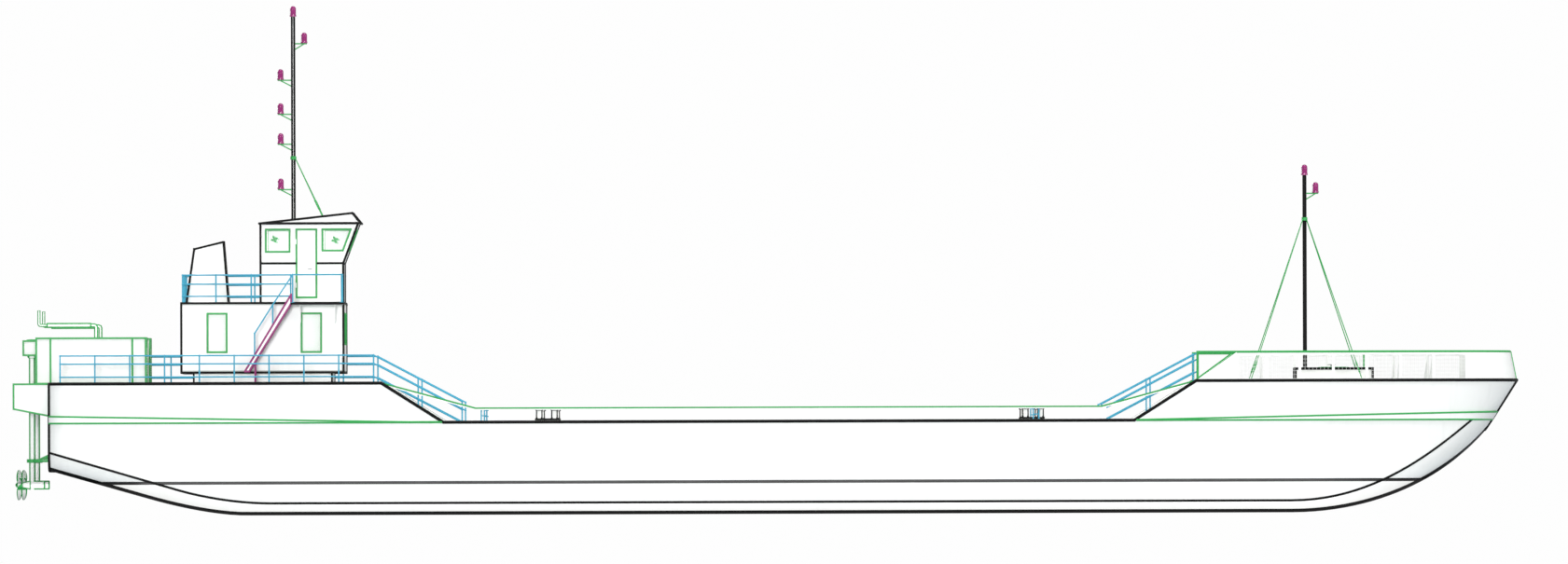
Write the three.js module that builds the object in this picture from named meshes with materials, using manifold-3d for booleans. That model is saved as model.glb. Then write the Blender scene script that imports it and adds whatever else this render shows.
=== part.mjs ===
// River barge, 1:2 scale model: a flat-bottomed, decked cargo barge with a low cargo deck between a
// raised after deck and a raised foredeck, a deckhouse and wheelhouse aft, and two rudder thrusters
// hung over the transom.
//
// All sizes below are those of the full-size vessel in millimetres, and the root group scales them.
// x runs forward from frame 0, the transom, y runs to port, and z runs up from the base line.

import * as THREE from "three";
import { mergeVertices } from "three/addons/utils/BufferGeometryUtils.js";
import Module from "manifold-3d";

const wasm = await Module();
wasm.setup();

// Driving dimensions

const SCALE = 1 / 2;
const FIT_GAP = 0.6; // between pieces that meet on a slope or a curve
const RUN_GAP = 12; // between a turning piece and what it turns in
const LAP = 1; // by which solids of one piece overlap where they are joined

const HALF_BEAM = 5200;
const RAISED_DECK = 4775;
const CARGO_DECK = 3350;
const AFT_BREAK = { top: 12000, foot: 14250 };
const FORE_BREAK = { foot: 39250, top: 41500 };
const BOW_TIP = 53180;

const PLATE = 80; // walls of the houses and the bulwarks, with their stiffeners
const BULWARK_TOP = 5810;
const LOW_BULWARK_TOP = 3850;
const BELT = { depth: 60, low: CARGO_DECK - 60, aboveDeck: 10 };

const RAIL = { pipe: 50, edge: 5050, top: 1015, middle: 717, low: 243 };
const PIPE_SIDES = 6;
const ROUND = 12; // sides of thicker round bars

const STERN_PLATFORM = { aft: -1330, halfWidth: 4300, lowAft: 3876, lowFore: 3612 };
const THRUSTER = { x: -693, y: 3000, legDiameter: 233, low: 1017, headLow: 5817, headTop: 6351 };
const PROPELLER = { x: -1160, z: 1120, diameter: 1190, hub: 260, hubAft: -150, blades: 4, pitchDegrees: 24 };
const CASING = { aft: -514, fore: 3456, top: 6439, width: 1700 };

const HOUSE = { aft: 4730, fore: 10610, low: 5180, top: 7700, halfWidth: 3200 };
const PLINTH = { aft: 5170, fore: 10180, halfWidth: 2900 };
const WING = { aft: 8745, halfWidth: 4000 };
const WHEELHOUSE = { aft: 7580, fore: 10585, belt: 9150, brow: 11130, top: 10600, halfWidth: 1750 };

const MAIN_MAST = { x: 8753, diameter: 162, top: 18150 };
const FORE_MAST = { x: 45540, diameter: 150, top: 12270 };
const LAMP = { diameter: 243, topDiameter: 194, height: 386, drop: 270 };

const TRUNK = { aft: 45170, fore: 47970, top: 5215, halfWidth: 1300 };
const HATCH = { aft: 46020, fore: 47100, halfWidth: 520, thickness: 60 };

const SIDES = [
  ["starboard", -1],
  ["port", 1],
];

// Finishes

const finish = (color, roughness, metalness = 0) =>
  new THREE.MeshStandardMaterial({ color, roughness, metalness });

const WHITE = finish(0xf2f2ee, 0.5);
const BLACK = finish(0x1a1a1a, 0.55);
const GREEN = finish(0x3fae5a, 0.5);
const BLUE = finish(0x55c4e6, 0.45);
const MAGENTA = finish(0xc0379b, 0.5);
const BRONZE = finish(0xa9814a, 0.35, 0.9);

// Solids

function solidOf(geometry) {
  const bare = geometry.clone();
  bare.deleteAttribute("normal");
  bare.deleteAttribute("uv");
  const merged = mergeVertices(bare, 1e-3);
  const mesh = new wasm.Mesh({
    numProp: 3,
    vertProperties: new Float32Array(merged.attributes.position.array),
    triVerts: new Uint32Array(merged.index.array),
  });
  return new wasm.Manifold(mesh);
}

function geometryOf(solid) {
  const { numProp, vertProperties, triVerts } = solid.getMesh();
  const positions = new Float32Array((vertProperties.length / numProp) * 3);
  for (let i = 0; i < positions.length / 3; i += 1) {
    positions.set(vertProperties.subarray(i * numProp, i * numProp + 3), i * 3);
  }
  const geometry = new THREE.BufferGeometry();
  geometry.setAttribute("position", new THREE.BufferAttribute(positions, 3));
  geometry.setIndex(new THREE.BufferAttribute(new Uint32Array(triVerts), 1));
  return geometry;
}

const join = (...solids) => solids.flat(Infinity).reduce((whole, next) => whole.add(next));
const cut = (solid, ...tools) => tools.flat(Infinity).reduce((rest, tool) => rest.subtract(tool), solid);

// The solid turned and moved by a matrix, turned right way out again after a mirroring one.
function moved(solid, matrix) {
  const geometry = geometryOf(solid).applyMatrix4(matrix);
  if (matrix.determinant() < 0) {
    const index = geometry.index.array;
    for (let i = 0; i < index.length; i += 3) {
      [index[i], index[i + 1]] = [index[i + 1], index[i]];
    }
  }
  return solidOf(geometry);
}

function block([x0, x1], [y0, y1], [z0, z1]) {
  const geometry = new THREE.BoxGeometry(Math.abs(x1 - x0), Math.abs(y1 - y0), Math.abs(z1 - z0));
  return solidOf(geometry.translate((x0 + x1) / 2, (y0 + y1) / 2, (z0 + z1) / 2));
}

function extruded(points, depth) {
  const shape = new THREE.Shape(points.map(([u, v]) => new THREE.Vector2(u, v)));
  return new THREE.ExtrudeGeometry(shape, { depth, bevelEnabled: false });
}

// An outline of x and z, as wide as the two y values are apart.
function across(points, [y0, y1]) {
  const geometry = extruded(points, Math.abs(y1 - y0)).rotateX(Math.PI / 2);
  return solidOf(geometry.translate(0, Math.max(y0, y1), 0));
}

// An outline of x and y, as high as the two z values are apart.
const upright = (points, [z0, z1]) => solidOf(extruded(points, z1 - z0).translate(0, 0, z0));

// A round bar between two points, or a cone where a second diameter is given.
function rod(from, to, diameter, sides = PIPE_SIDES, endDiameter = diameter) {
  const start = new THREE.Vector3(...from);
  const end = new THREE.Vector3(...to);
  const along = end.clone().sub(start);
  const geometry = new THREE.CylinderGeometry(endDiameter / 2, diameter / 2, along.length(), sides);
  geometry.rotateY(Math.PI / sides);
  const turn = new THREE.Quaternion().setFromUnitVectors(new THREE.Vector3(0, 1, 0), along.normalize());
  geometry.applyQuaternion(turn);
  const middle = start.add(end).multiplyScalar(0.5);
  return solidOf(geometry.translate(middle.x, middle.y, middle.z));
}

// Bars of one pipe through a row of points.
const pipeRun = (points, diameter = RAIL.pipe) =>
  points.slice(1).map((point, i) => rod(points[i], point, diameter));

// A closed body through rings of points that all have the same count, flat at both ends. Its faces
// point outwards whichever way the rings run.
function loft(rings) {
  const count = rings[0].length;
  const faces = [];
  for (let r = 0; r + 1 < rings.length; r += 1) {
    for (let i = 0; i < count; i += 1) {
      const a = r * count + i;
      const b = r * count + ((i + 1) % count);
      faces.push([a, b + count, b], [a, a + count, b + count]);
    }
  }
  const last = (rings.length - 1) * count;
  for (let i = 1; i + 1 < count; i += 1) {
    faces.push([0, i, i + 1], [last, last + i + 1, last + i]);
  }
  const bodyOf = (triangles) => {
    const geometry = new THREE.BufferGeometry();
    geometry.setAttribute("position", new THREE.Float32BufferAttribute(rings.flat(2), 3));
    geometry.setIndex(triangles.flat());
    return solidOf(geometry);
  };
  const body = bodyOf(faces);
  return body.volume() > 0 ? body : bodyOf(faces.map(([a, b, c]) => [a, c, b]));
}

const barge = new THREE.Group();
barge.scale.setScalar(SCALE);
barge.position.x = (-(STERN_PLATFORM.aft + BOW_TIP) / 2) * SCALE;

function piece(name, solid, material, group = barge) {
  const mesh = new THREE.Mesh(geometryOf(solid), material);
  mesh.name = name;
  group.add(mesh);
  return mesh;
}

// Hull

const BILGE_STEPS = 4;

// A row of the after body: frame distance, half beam, bottom, upper edge of the bilge, deck.
const AFTER_BODY = [
  [0, 4950, 1630, 2280, RAISED_DECK],
  [250, 5130, 1559, 2207, RAISED_DECK],
  [600, HALF_BEAM, 1459, 2104, RAISED_DECK],
  [3570, HALF_BEAM, 610, 1225, RAISED_DECK],
  [4840, HALF_BEAM, 290, 855, RAISED_DECK],
  [6000, HALF_BEAM, 84, 590, RAISED_DECK],
  [7000, HALF_BEAM, 0, 480, RAISED_DECK],
  [8000, HALF_BEAM, 0, 430, RAISED_DECK],
  [AFT_BREAK.top, HALF_BEAM, 0, 430, RAISED_DECK],
  [AFT_BREAK.foot, HALF_BEAM, 0, 430, CARGO_DECK],
];

// The bow: its bottom is a stretch of an ellipse, and its frames lean forward more and more until
// the last one is the raked nose plate.
const BOW = { start: 44980, a: 8455, b: 6595, end: 52050, nose: 1600, shoulder: 45500 };
const BOW_LEAN = BOW_TIP - BOW.end;
const BOW_FRAMES = [46500, 48000, 49400, 50600, 51500, 51850, BOW.end];
const BILGE_RISE = { parallel: 430, growth: 970, over: 6520, share: 0.9 };

// One frame: bottom and deck points on the centre line, half beam and the bilge's height and width.
function bowFrame(x) {
  const run = Math.max(0, x - BOW.start);
  const low = BOW.b * (1 - Math.sqrt(1 - (run / BOW.a) ** 2));
  const deckX = x + BOW_LEAN * (run / (BOW.end - BOW.start)) ** 2;
  const taper = Math.max(0, deckX - BOW.shoulder) / (BOW_TIP - BOW.shoulder);
  const half = BOW.nose + (HALF_BEAM - BOW.nose) * Math.sqrt(Math.max(0, 1 - taper ** 2));
  const rise = BILGE_RISE.parallel + BILGE_RISE.growth * (run / BILGE_RISE.over) ** 2;
  return { x, low, deckX, deck: RAISED_DECK, half, rise, width: Math.min(rise, half * BILGE_RISE.share) };
}

const FORE_BODY = [
  { ...bowFrame(FORE_BREAK.foot), deck: CARGO_DECK },
  bowFrame(FORE_BREAK.top),
  bowFrame(BOW.start),
  ...BOW_FRAMES.map(bowFrame),
];

const afterFrame = ([x, half, low, bilge, deck]) => ({
  x,
  low,
  deckX: x,
  deck,
  half,
  rise: bilge - low,
  width: bilge - low,
});

// The ring of one frame, from the port deck edge down, under the bottom and up to starboard.
function frameRing(frame, grow = 0) {
  const { x, low, deckX, deck, half, rise, width } = frame;
  const side = [[half + grow, deck]];
  for (let i = 0; i <= BILGE_STEPS; i += 1) {
    const angle = (i / BILGE_STEPS) * (Math.PI / 2);
    side.push([half - width + width * Math.cos(angle) + grow, low + rise * (1 - Math.sin(angle))]);
  }
  const lean = (z) => x + ((deckX - x) * (z - low)) / (deck - low);
  const port = side.map(([y, z]) => [lean(z) + (x === BOW.end ? grow : 0), y, z]);
  const starboard = port.map(([px, y, z]) => [px, -y, z]).reverse();
  return [...port, ...starboard];
}

const hullLoft = (frames, grow = 0) => loft(frames.map((frame) => frameRing(frame, grow)));

piece("hull_stern", hullLoft(AFTER_BODY.map(afterFrame)), WHITE);
const middleFrame = (x) => afterFrame([x, HALF_BEAM, 0, BILGE_RISE.parallel, CARGO_DECK]);
piece("hull_mid", hullLoft([AFT_BREAK.foot, FORE_BREAK.foot].map(middleFrame)), WHITE);
piece("hull_bow", hullLoft(FORE_BODY), WHITE);

// Fenders: a belt at the height of the cargo deck, set into the sides and wrapped round both ends

// The half breadth of a frame at a height.
function breadthAt({ half, low, rise, width }, z) {
  const below = Math.max(0, low + rise - z) / rise;
  return half - width + width * Math.sqrt(Math.max(0, 1 - below ** 2));
}

// The starboard point of a frame's side at a height.
function sidePoint(frame, z) {
  const { x, deckX, low, deck } = frame;
  return [x + ((deckX - x) * (z - low)) / (deck - low), -breadthAt(frame, z), z];
}

// A belt along the frames' sides, from the parallel side round the end and back. It stands out
// from the hull by its depth and starts as far inside it.
function belt(frames, topAt) {
  const half = frames.map((frame) => {
    const foot = sidePoint(frame, BELT.low);
    return [foot, sidePoint(frame, topAt(foot[0]))];
  });
  const otherSide = half.map((edges) => edges.map(([x, y, z]) => [x, -y, z])).reverse();
  const edgePairs = [...half, ...otherSide];
  const rings = edgePairs.map(([foot, head], i) => {
    const [before] = edgePairs[Math.max(0, i - 1)];
    const [after] = edgePairs[Math.min(edgePairs.length - 1, i + 1)];
    const along = new THREE.Vector2(after[0] - before[0], after[1] - before[1]).normalize();
    const offset = ([x, y, z], by) => [x - along.y * by, y + along.x * by, z];
    return [
      offset(foot, -BELT.depth),
      offset(foot, BELT.depth),
      offset(head, BELT.depth),
      offset(head, -BELT.depth),
    ];
  });
  return loft(rings);
}

const STERN_BELT = { fore: 14000, taper: 13000, top: 3590 };
const sternBeltTop = (x) =>
  CARGO_DECK + BELT.aboveDeck + (STERN_BELT.top - CARGO_DECK) * Math.max(0, 1 - x / STERN_BELT.taper);
const sternFrames = [
  ...[STERN_BELT.fore, STERN_BELT.taper].map(middleFrame),
  ...AFTER_BODY.slice(0, 3).map(afterFrame).reverse(),
];
const grownTransom = [-FIT_GAP, ...AFTER_BODY[0].slice(1)];
piece(
  "fender_stern",
  cut(belt(sternFrames, sternBeltTop), hullLoft([grownTransom, ...AFTER_BODY].map(afterFrame), FIT_GAP)),
  GREEN,
);

const BOW_BELT = { aft: FORE_BREAK.foot + 400, top: 3615, topAt: 52500 };
const bowBeltTop = (x) =>
  CARGO_DECK +
  BELT.aboveDeck +
  ((BOW_BELT.top - CARGO_DECK) * (x - BOW_BELT.aft)) / (BOW_BELT.topAt - BOW_BELT.aft);
const bowBeltFrames = [middleFrame(BOW_BELT.aft), ...[BOW.shoulder, ...BOW_FRAMES].map(bowFrame)];
piece("fender_bow", cut(belt(bowBeltFrames, bowBeltTop), hullLoft(FORE_BODY, FIT_GAP)), GREEN);

// Bulwarks

const KNEES = { aft: 15400, fore: 38070 };
const LOW_BULWARK = [
  [AFT_BREAK.foot, CARGO_DECK],
  [FORE_BREAK.foot, CARGO_DECK],
  [FORE_BREAK.top, RAISED_DECK],
  [KNEES.fore, LOW_BULWARK_TOP],
  [KNEES.aft, LOW_BULWARK_TOP],
  [AFT_BREAK.top, RAISED_DECK],
];
const STRIP = 60; // of plate left round the openings in the low bulwark
const WEB = 170; // of plate left at each knee, measured along the bulwark
const PORTS = [
  [15550, 15890], // at the after boarding step
  [17430, 18550], // at the after bollard
  [35030, 36150], // at the fore bollard and the fore boarding step
];
const STEPS = [15720, 35700]; // middles of the boarding steps
const STEP = { width: 200, rung: 230, bar: 45, sunk: 8, below: 15, inset: 5 };

// The opening beside a break: under the sloping cap, above the deck line, up to the web at the knee.
function slopeOpening(breakTop, breakFoot, knee) {
  const way = Math.sign(breakFoot - breakTop);
  const drop = RAISED_DECK - CARGO_DECK;
  const capSlope = (RAISED_DECK - LOW_BULWARK_TOP) / Math.abs(knee - breakTop);
  const deckSlope = drop / Math.abs(breakFoot - breakTop);
  const capAt = (run) => RAISED_DECK - capSlope * run - STRIP;
  const start = (2 * STRIP) / (deckSlope - capSlope);
  const end = Math.abs(knee - breakTop) - WEB;
  return [
    [breakTop + way * start, capAt(start)],
    [breakFoot, CARGO_DECK + STRIP],
    [breakTop + way * end, CARGO_DECK + STRIP],
    [breakTop + way * end, capAt(end)],
  ];
}

// A two-legged step of square bar, welded to the bulwark's inner face.
function boardingStep(x, s) {
  const face = HALF_BEAM - PLATE;
  const y = [s * (face - STEP.bar), s * (face + STEP.sunk)];
  const half = STEP.bar / 2;
  const legs = [-1, 1].map((end) => {
    const legX = x + (end * STEP.width) / 2;
    return block([legX - half, legX + half], y, [CARGO_DECK, LOW_BULWARK_TOP - STEP.below]);
  });
  const rungZ = CARGO_DECK + STEP.rung;
  const rungY = [s * (face - STEP.bar + STEP.inset), s * (face - STEP.inset)];
  return [...legs, block([x - STEP.width / 2, x + STEP.width / 2], rungY, [rungZ - half, rungZ + half])];
}

for (const [side, s] of SIDES) {
  const through = [s * (HALF_BEAM - 2 * PLATE), s * (HALF_BEAM + PLATE)];
  const plate = cut(
    across(LOW_BULWARK, [s * (HALF_BEAM - PLATE), s * HALF_BEAM]),
    PORTS.map((x) => block(x, through, [CARGO_DECK + STRIP, LOW_BULWARK_TOP - STRIP])),
    across(slopeOpening(AFT_BREAK.top, AFT_BREAK.foot, KNEES.aft), through),
    across(slopeOpening(FORE_BREAK.top, FORE_BREAK.foot, KNEES.fore), through),
  );
  piece(`bulwark_mid_${side}`, join(plate, STEPS.map((x) => boardingStep(x, s))), GREEN);
}

// The foredeck's bulwark follows the deck edge round the bow and leans in a little at the nose.
// It is a frame of plate with open bays between its webs.
const BOW_BULWARK = { aft: FORE_BREAK.top, slopeEnd: 42970, lean: 200, pinch: 4000 };
const BAYS = { aft: 43020, web: 44035, pitch: 1215, count: 7, webWidth: 100, sill: 70, top: 110 };

function bowBulwark() {
  const edge = [BOW.start, ...BOW_FRAMES].map(bowFrame).map((frame) => [frame.deckX, -frame.half]);
  const half = [[BOW_BULWARK.aft, -HALF_BEAM], ...edge];
  const plan = [...half, ...half.map(([x, y]) => [x, -y]).reverse()];
  const leanAt = (x) => (BOW_BULWARK.lean * Math.max(0, x - BOW.start)) / (BOW_TIP - BOW.start);
  const rings = plan.map(([x, y], i) => {
    const before = plan[Math.max(0, i - 1)];
    const after = plan[Math.min(plan.length - 1, i + 1)];
    const along = new THREE.Vector2(after[0] - before[0], after[1] - before[1]).normalize();
    const inward = [-along.y * PLATE, along.x * PLATE];
    const back = leanAt(x);
    const topY = y * (1 - back / BOW_BULWARK.pinch);
    return [
      [x, y, RAISED_DECK],
      [x - back, topY, BULWARK_TOP],
      [x - back + inward[0], topY + inward[1], BULWARK_TOP],
      [x + inward[0], y + inward[1], RAISED_DECK],
    ];
  });
  const wall = loft(rings);
  const { aft, slopeEnd } = BOW_BULWARK;
  const slope = (BULWARK_TOP - RAISED_DECK) / (slopeEnd - aft);
  const beyond = 100;
  const offcut = across(
    [
      [aft - beyond, RAISED_DECK - beyond * slope],
      [slopeEnd + beyond, BULWARK_TOP + beyond * slope],
      [aft - beyond, BULWARK_TOP + beyond * slope],
    ],
    [-HALF_BEAM - beyond, HALF_BEAM + beyond],
  );
  const postY = HALF_BEAM - PLATE / 2;
  const topZ = BULWARK_TOP - RAIL.pipe / 2;
  const posts = SIDES.flatMap(([, s]) => [
    rod([aft + RAIL.pipe, s * postY, RAISED_DECK], [aft + RAIL.pipe, s * postY, topZ], RAIL.pipe),
    rod([aft + RAIL.pipe, s * postY, topZ], [slopeEnd + RAIL.pipe, s * postY, topZ], RAIL.pipe),
  ]);
  const bays = Array.from({ length: BAYS.count }, (_, i) => {
    const from = i === 0 ? BAYS.aft : BAYS.web + (i - 1) * BAYS.pitch + BAYS.webWidth / 2;
    const to = BAYS.web + i * BAYS.pitch - BAYS.webWidth / 2;
    const y = [-HALF_BEAM - beyond, HALF_BEAM + beyond];
    return block([from, to], y, [RAISED_DECK + BAYS.sill, BULWARK_TOP - BAYS.top]);
  });
  return join(cut(wall, offcut, bays), posts);
}
piece("bulwark_bow", bowBulwark(), GREEN);

// Deck rails

const AFT_RAIL = { first: 379, pitch: 1261, posts: 10 };
const RAIL_SLOPE = 0.528; // of the bars beside the two sloping breaks
const SLOPE_POSTS = { aft: [13340, 14930], fore: [39830, 38070] };
const BAR_HEIGHTS = [RAIL.top, RAIL.middle, RAIL.low];
const FORE_BAR_HEIGHTS = [RAIL.top, 780, 340];

const deckHeight = (x) => {
  const aft = (x - AFT_BREAK.top) / (AFT_BREAK.foot - AFT_BREAK.top);
  const fore = (FORE_BREAK.top - x) / (FORE_BREAK.top - FORE_BREAK.foot);
  const down = x < (AFT_BREAK.foot + FORE_BREAK.foot) / 2 ? aft : fore;
  return RAISED_DECK - (RAISED_DECK - CARGO_DECK) * Math.min(1, Math.max(0, down));
};

// What lies under the deck line, with the gap that posts on the slopes keep to it.
const CUTTER_LOW = CARGO_DECK - 500;
const underDeckLine = across(
  [
    [0, CUTTER_LOW],
    [BOW_TIP, CUTTER_LOW],
    [BOW_TIP, RAISED_DECK + FIT_GAP],
    [FORE_BREAK.top, RAISED_DECK + FIT_GAP],
    [FORE_BREAK.foot, CARGO_DECK + FIT_GAP],
    [AFT_BREAK.foot, CARGO_DECK + FIT_GAP],
    [AFT_BREAK.top, RAISED_DECK + FIT_GAP],
    [0, RAISED_DECK + FIT_GAP],
  ],
  [-HALF_BEAM, HALF_BEAM],
);
const POST_ROOT = 60; // how far a post is drawn into the deck before the deck line trims it

// The stretch of rail beside a break, from its upper post at x down to its last post.
function slopedRail(upperX, posts, y, heights) {
  const direction = Math.sign(posts[1] - posts[0]);
  const barAt = (x, height) => RAISED_DECK + height - RAIL_SLOPE * Math.abs(x - upperX);
  const endX = direction > 0 ? Math.max(...posts) : Math.min(...posts);
  const uprights = posts.map((x) =>
    rod([x, y, deckHeight(x) - POST_ROOT], [x, y, barAt(x, heights[0])], RAIL.pipe),
  );
  const bars = heights.map((height) => {
    const reach = (RAISED_DECK + height - CARGO_DECK - RAIL.pipe) / RAIL_SLOPE;
    const x = upperX + direction * Math.min(Math.abs(endX - upperX), reach);
    return rod([upperX, y, RAISED_DECK + height], [x, y, barAt(x, height)], RAIL.pipe);
  });
  return [...uprights, ...bars];
}

function aftRail(s) {
  const y = s * RAIL.edge;
  const xs = Array.from({ length: AFT_RAIL.posts }, (_, i) => AFT_RAIL.first + i * AFT_RAIL.pitch);
  const [first, last] = [xs[0], xs.at(-1)];
  const posts = xs.map((x) =>
    rod([x, y, RAISED_DECK - POST_ROOT], [x, y, RAISED_DECK + RAIL.top], RAIL.pipe),
  );
  const bars = BAR_HEIGHTS.map((height) =>
    rod([first, y, RAISED_DECK + height], [last, y, RAISED_DECK + height], RAIL.pipe),
  );
  return cut(join(posts, bars, slopedRail(last, SLOPE_POSTS.aft, y, BAR_HEIGHTS)), underDeckLine);
}

// The fore rail starts at a post of its own, beside the bulwark's first one.
function foreRail(s) {
  const y = s * RAIL.edge;
  const upperX = BOW_BULWARK.aft + RAIL.pipe;
  const post = rod([upperX, y, RAISED_DECK - POST_ROOT], [upperX, y, RAISED_DECK + RAIL.top], RAIL.pipe);
  return cut(join(post, slopedRail(upperX, SLOPE_POSTS.fore, y, FORE_BAR_HEIGHTS)), underDeckLine);
}

for (const [side, s] of SIDES) {
  piece(`rail_deck_${side}`, aftRail(s), BLUE);
  piece(`rail_fore_${side}`, foreRail(s), BLUE);
}

// Mooring bollards

const BOLLARD = {
  y: 4650,
  base: [940, 420, 130],
  gap: 550,
  post: 247,
  cap: 300,
  capHeight: 40,
};
const BOLLARDS = [
  ["aft", 17990],
  ["fore", 35590],
];

function doubleBollard(x, y) {
  const [length, width, height] = BOLLARD.base;
  const posts = [-1, 1].flatMap((end) => {
    const postX = x + (end * BOLLARD.gap) / 2;
    const capLow = LOW_BULWARK_TOP - BOLLARD.capHeight;
    return [
      rod([postX, y, CARGO_DECK + height / 2], [postX, y, LOW_BULWARK_TOP - LAP], BOLLARD.post, ROUND),
      rod([postX, y, capLow], [postX, y, LOW_BULWARK_TOP], BOLLARD.cap, ROUND),
    ];
  });
  const base = block(
    [x - length / 2, x + length / 2],
    [y - width / 2, y + width / 2],
    [CARGO_DECK, CARGO_DECK + height],
  );
  return join(base, posts);
}

for (const [end, x] of BOLLARDS) {
  for (const [side, s] of SIDES) {
    piece(`bollard_${end}_${side}`, doubleBollard(x, s * BOLLARD.y), BLACK);
  }
}

// Deckhouse

const FLOOR = 80;
const ROOF = 80;
const houseWallLow = HOUSE.low + FLOOR;
const houseWallTop = HOUSE.top - ROOF;
const TALL_WINDOWS = [
  [5680, 6375],
  [9090, 9800],
];
const TALL_WINDOW_Z = [5920, 7320];

piece(
  "house_plinth",
  block([PLINTH.aft, PLINTH.fore], [-PLINTH.halfWidth, PLINTH.halfWidth], [RAISED_DECK, HOUSE.low]),
  WHITE,
);
piece(
  "house_floor",
  block([HOUSE.aft, HOUSE.fore], [-HOUSE.halfWidth, HOUSE.halfWidth], [HOUSE.low, houseWallLow]),
  WHITE,
);
for (const [side, s] of SIDES) {
  const y = [s * (HOUSE.halfWidth - PLATE), s * HOUSE.halfWidth];
  const wall = block([HOUSE.aft, HOUSE.fore], y, [houseWallLow, houseWallTop]);
  const windows = TALL_WINDOWS.map((x) => block(x, [y[0] - s * PLATE, y[1] + s * PLATE], TALL_WINDOW_Z));
  piece(`house_wall_${side}`, cut(wall, windows), WHITE);
}

// A hinged door in its own frame: the hinge line on z, the leaf along +x, outside towards +y.
const HINGE = {
  diameter: 44,
  length: 90,
  out: 25,
  side: 20,
  strap: 14,
  pad: 120,
  lug: 60,
  lap: 10,
  share: 0.18, // of the door's height, from its ends to its hinges
};
const LEAF = { gap: 12, thickness: 60 };

// The leaf with its straps and the upper half of each hinge.
function doorLeaf(width, [low, top]) {
  const face = -HINGE.out;
  const x0 = HINGE.side + LEAF.gap;
  const x1 = HINGE.side + width - LEAF.gap;
  const leaf = block([x0, x1], [face - LEAF.thickness, face], [low + LEAF.gap, top - LEAF.gap]);
  const hinges = hingeHeights(low, top).flatMap((z) => {
    const upper = [z + FIT_GAP / 2, z + HINGE.length];
    const barrel = rod([0, 0, upper[0]], [0, 0, upper[1]], HINGE.diameter, ROUND);
    const strap = block([0, x0 + HINGE.lap], [face + FIT_GAP, face + HINGE.strap], upper);
    const pad = block([x0, x0 + HINGE.pad], [face - LAP, face + HINGE.strap], upper);
    return [barrel, strap, pad];
  });
  return join(leaf, hinges);
}

// The lower halves of the hinges and the lugs that hold them to the wall.
function doorHinges([low, top]) {
  return hingeHeights(low, top).flatMap((z) => {
    const lower = [z - HINGE.length, z - FIT_GAP / 2];
    return [
      rod([0, 0, lower[0]], [0, 0, lower[1]], HINGE.diameter, ROUND),
      block([-HINGE.lug, HINGE.lap / 2], [-HINGE.out - LAP, -HINGE.out + HINGE.strap], lower),
    ];
  });
}

const hingeHeights = (low, top) => [HINGE.share, 1 - HINGE.share].map((share) => low + (top - low) * share);

const AFT_DOOR = { y: -380, width: 760, z: [houseWallLow + 100, houseWallLow + 2000] };
const aftDoorFrame = new THREE.Group();
aftDoorFrame.position.set(HOUSE.aft - HINGE.out, AFT_DOOR.y - HINGE.side, 0);
aftDoorFrame.rotation.z = Math.PI / 2;
aftDoorFrame.updateMatrix();
barge.add(aftDoorFrame);
piece("house_door", doorLeaf(AFT_DOOR.width, AFT_DOOR.z), WHITE, aftDoorFrame);

const innerHalf = HOUSE.halfWidth - PLATE;
const aftWall = block([HOUSE.aft, HOUSE.aft + PLATE], [-innerHalf, innerHalf], [houseWallLow, houseWallTop]);
const aftDoorway = block(
  [HOUSE.aft - PLATE, HOUSE.aft + 2 * PLATE],
  [AFT_DOOR.y, AFT_DOOR.y + AFT_DOOR.width],
  AFT_DOOR.z,
);
piece(
  "house_wall_aft",
  join(cut(aftWall, aftDoorway), doorHinges(AFT_DOOR.z).map((solid) => moved(solid, aftDoorFrame.matrix))),
  WHITE,
);

const FRONT_WINDOW = { ys: [-2000, 0, 2000], width: 900, z: [6220, 7320] };
const frontWall = block(
  [HOUSE.fore - PLATE, HOUSE.fore],
  [-innerHalf, innerHalf],
  [houseWallLow, houseWallTop],
);
const frontWindows = FRONT_WINDOW.ys.map((y) =>
  block(
    [HOUSE.fore - 2 * PLATE, HOUSE.fore + PLATE],
    [y - FRONT_WINDOW.width / 2, y + FRONT_WINDOW.width / 2],
    FRONT_WINDOW.z,
  ),
);
piece("house_wall_fore", cut(frontWall, frontWindows), WHITE);

// The house's roof is the deck round the wheelhouse, with a wing at each side where a stair lands.
const ROOF_PLAN = [
  [HOUSE.aft, -HOUSE.halfWidth],
  [WING.aft, -HOUSE.halfWidth],
  [WING.aft, -WING.halfWidth],
  [HOUSE.fore, -WING.halfWidth],
  [HOUSE.fore, WING.halfWidth],
  [WING.aft, WING.halfWidth],
  [WING.aft, HOUSE.halfWidth],
  [HOUSE.aft, HOUSE.halfWidth],
];
piece("house_roof", upright(ROOF_PLAN, [houseWallTop, HOUSE.top]), WHITE);

// Wheelhouse

const SIDE_DOOR = { x: 8888, width: 723, z: [7910, 10380] };
const SIDE_WINDOWS = [
  [[7775, 9570], [8637, 9570], [8637, 10380], [7775, 10380]],
  [[9835, 9610], [10570, 9610], [10860, 10380], [9835, 10380]],
];
const wheelhouseSide = [
  [WHEELHOUSE.aft, HOUSE.top],
  [WHEELHOUSE.fore, HOUSE.top],
  [WHEELHOUSE.fore, WHEELHOUSE.belt],
  [WHEELHOUSE.brow, WHEELHOUSE.top],
  [WHEELHOUSE.aft, WHEELHOUSE.top],
];

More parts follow.
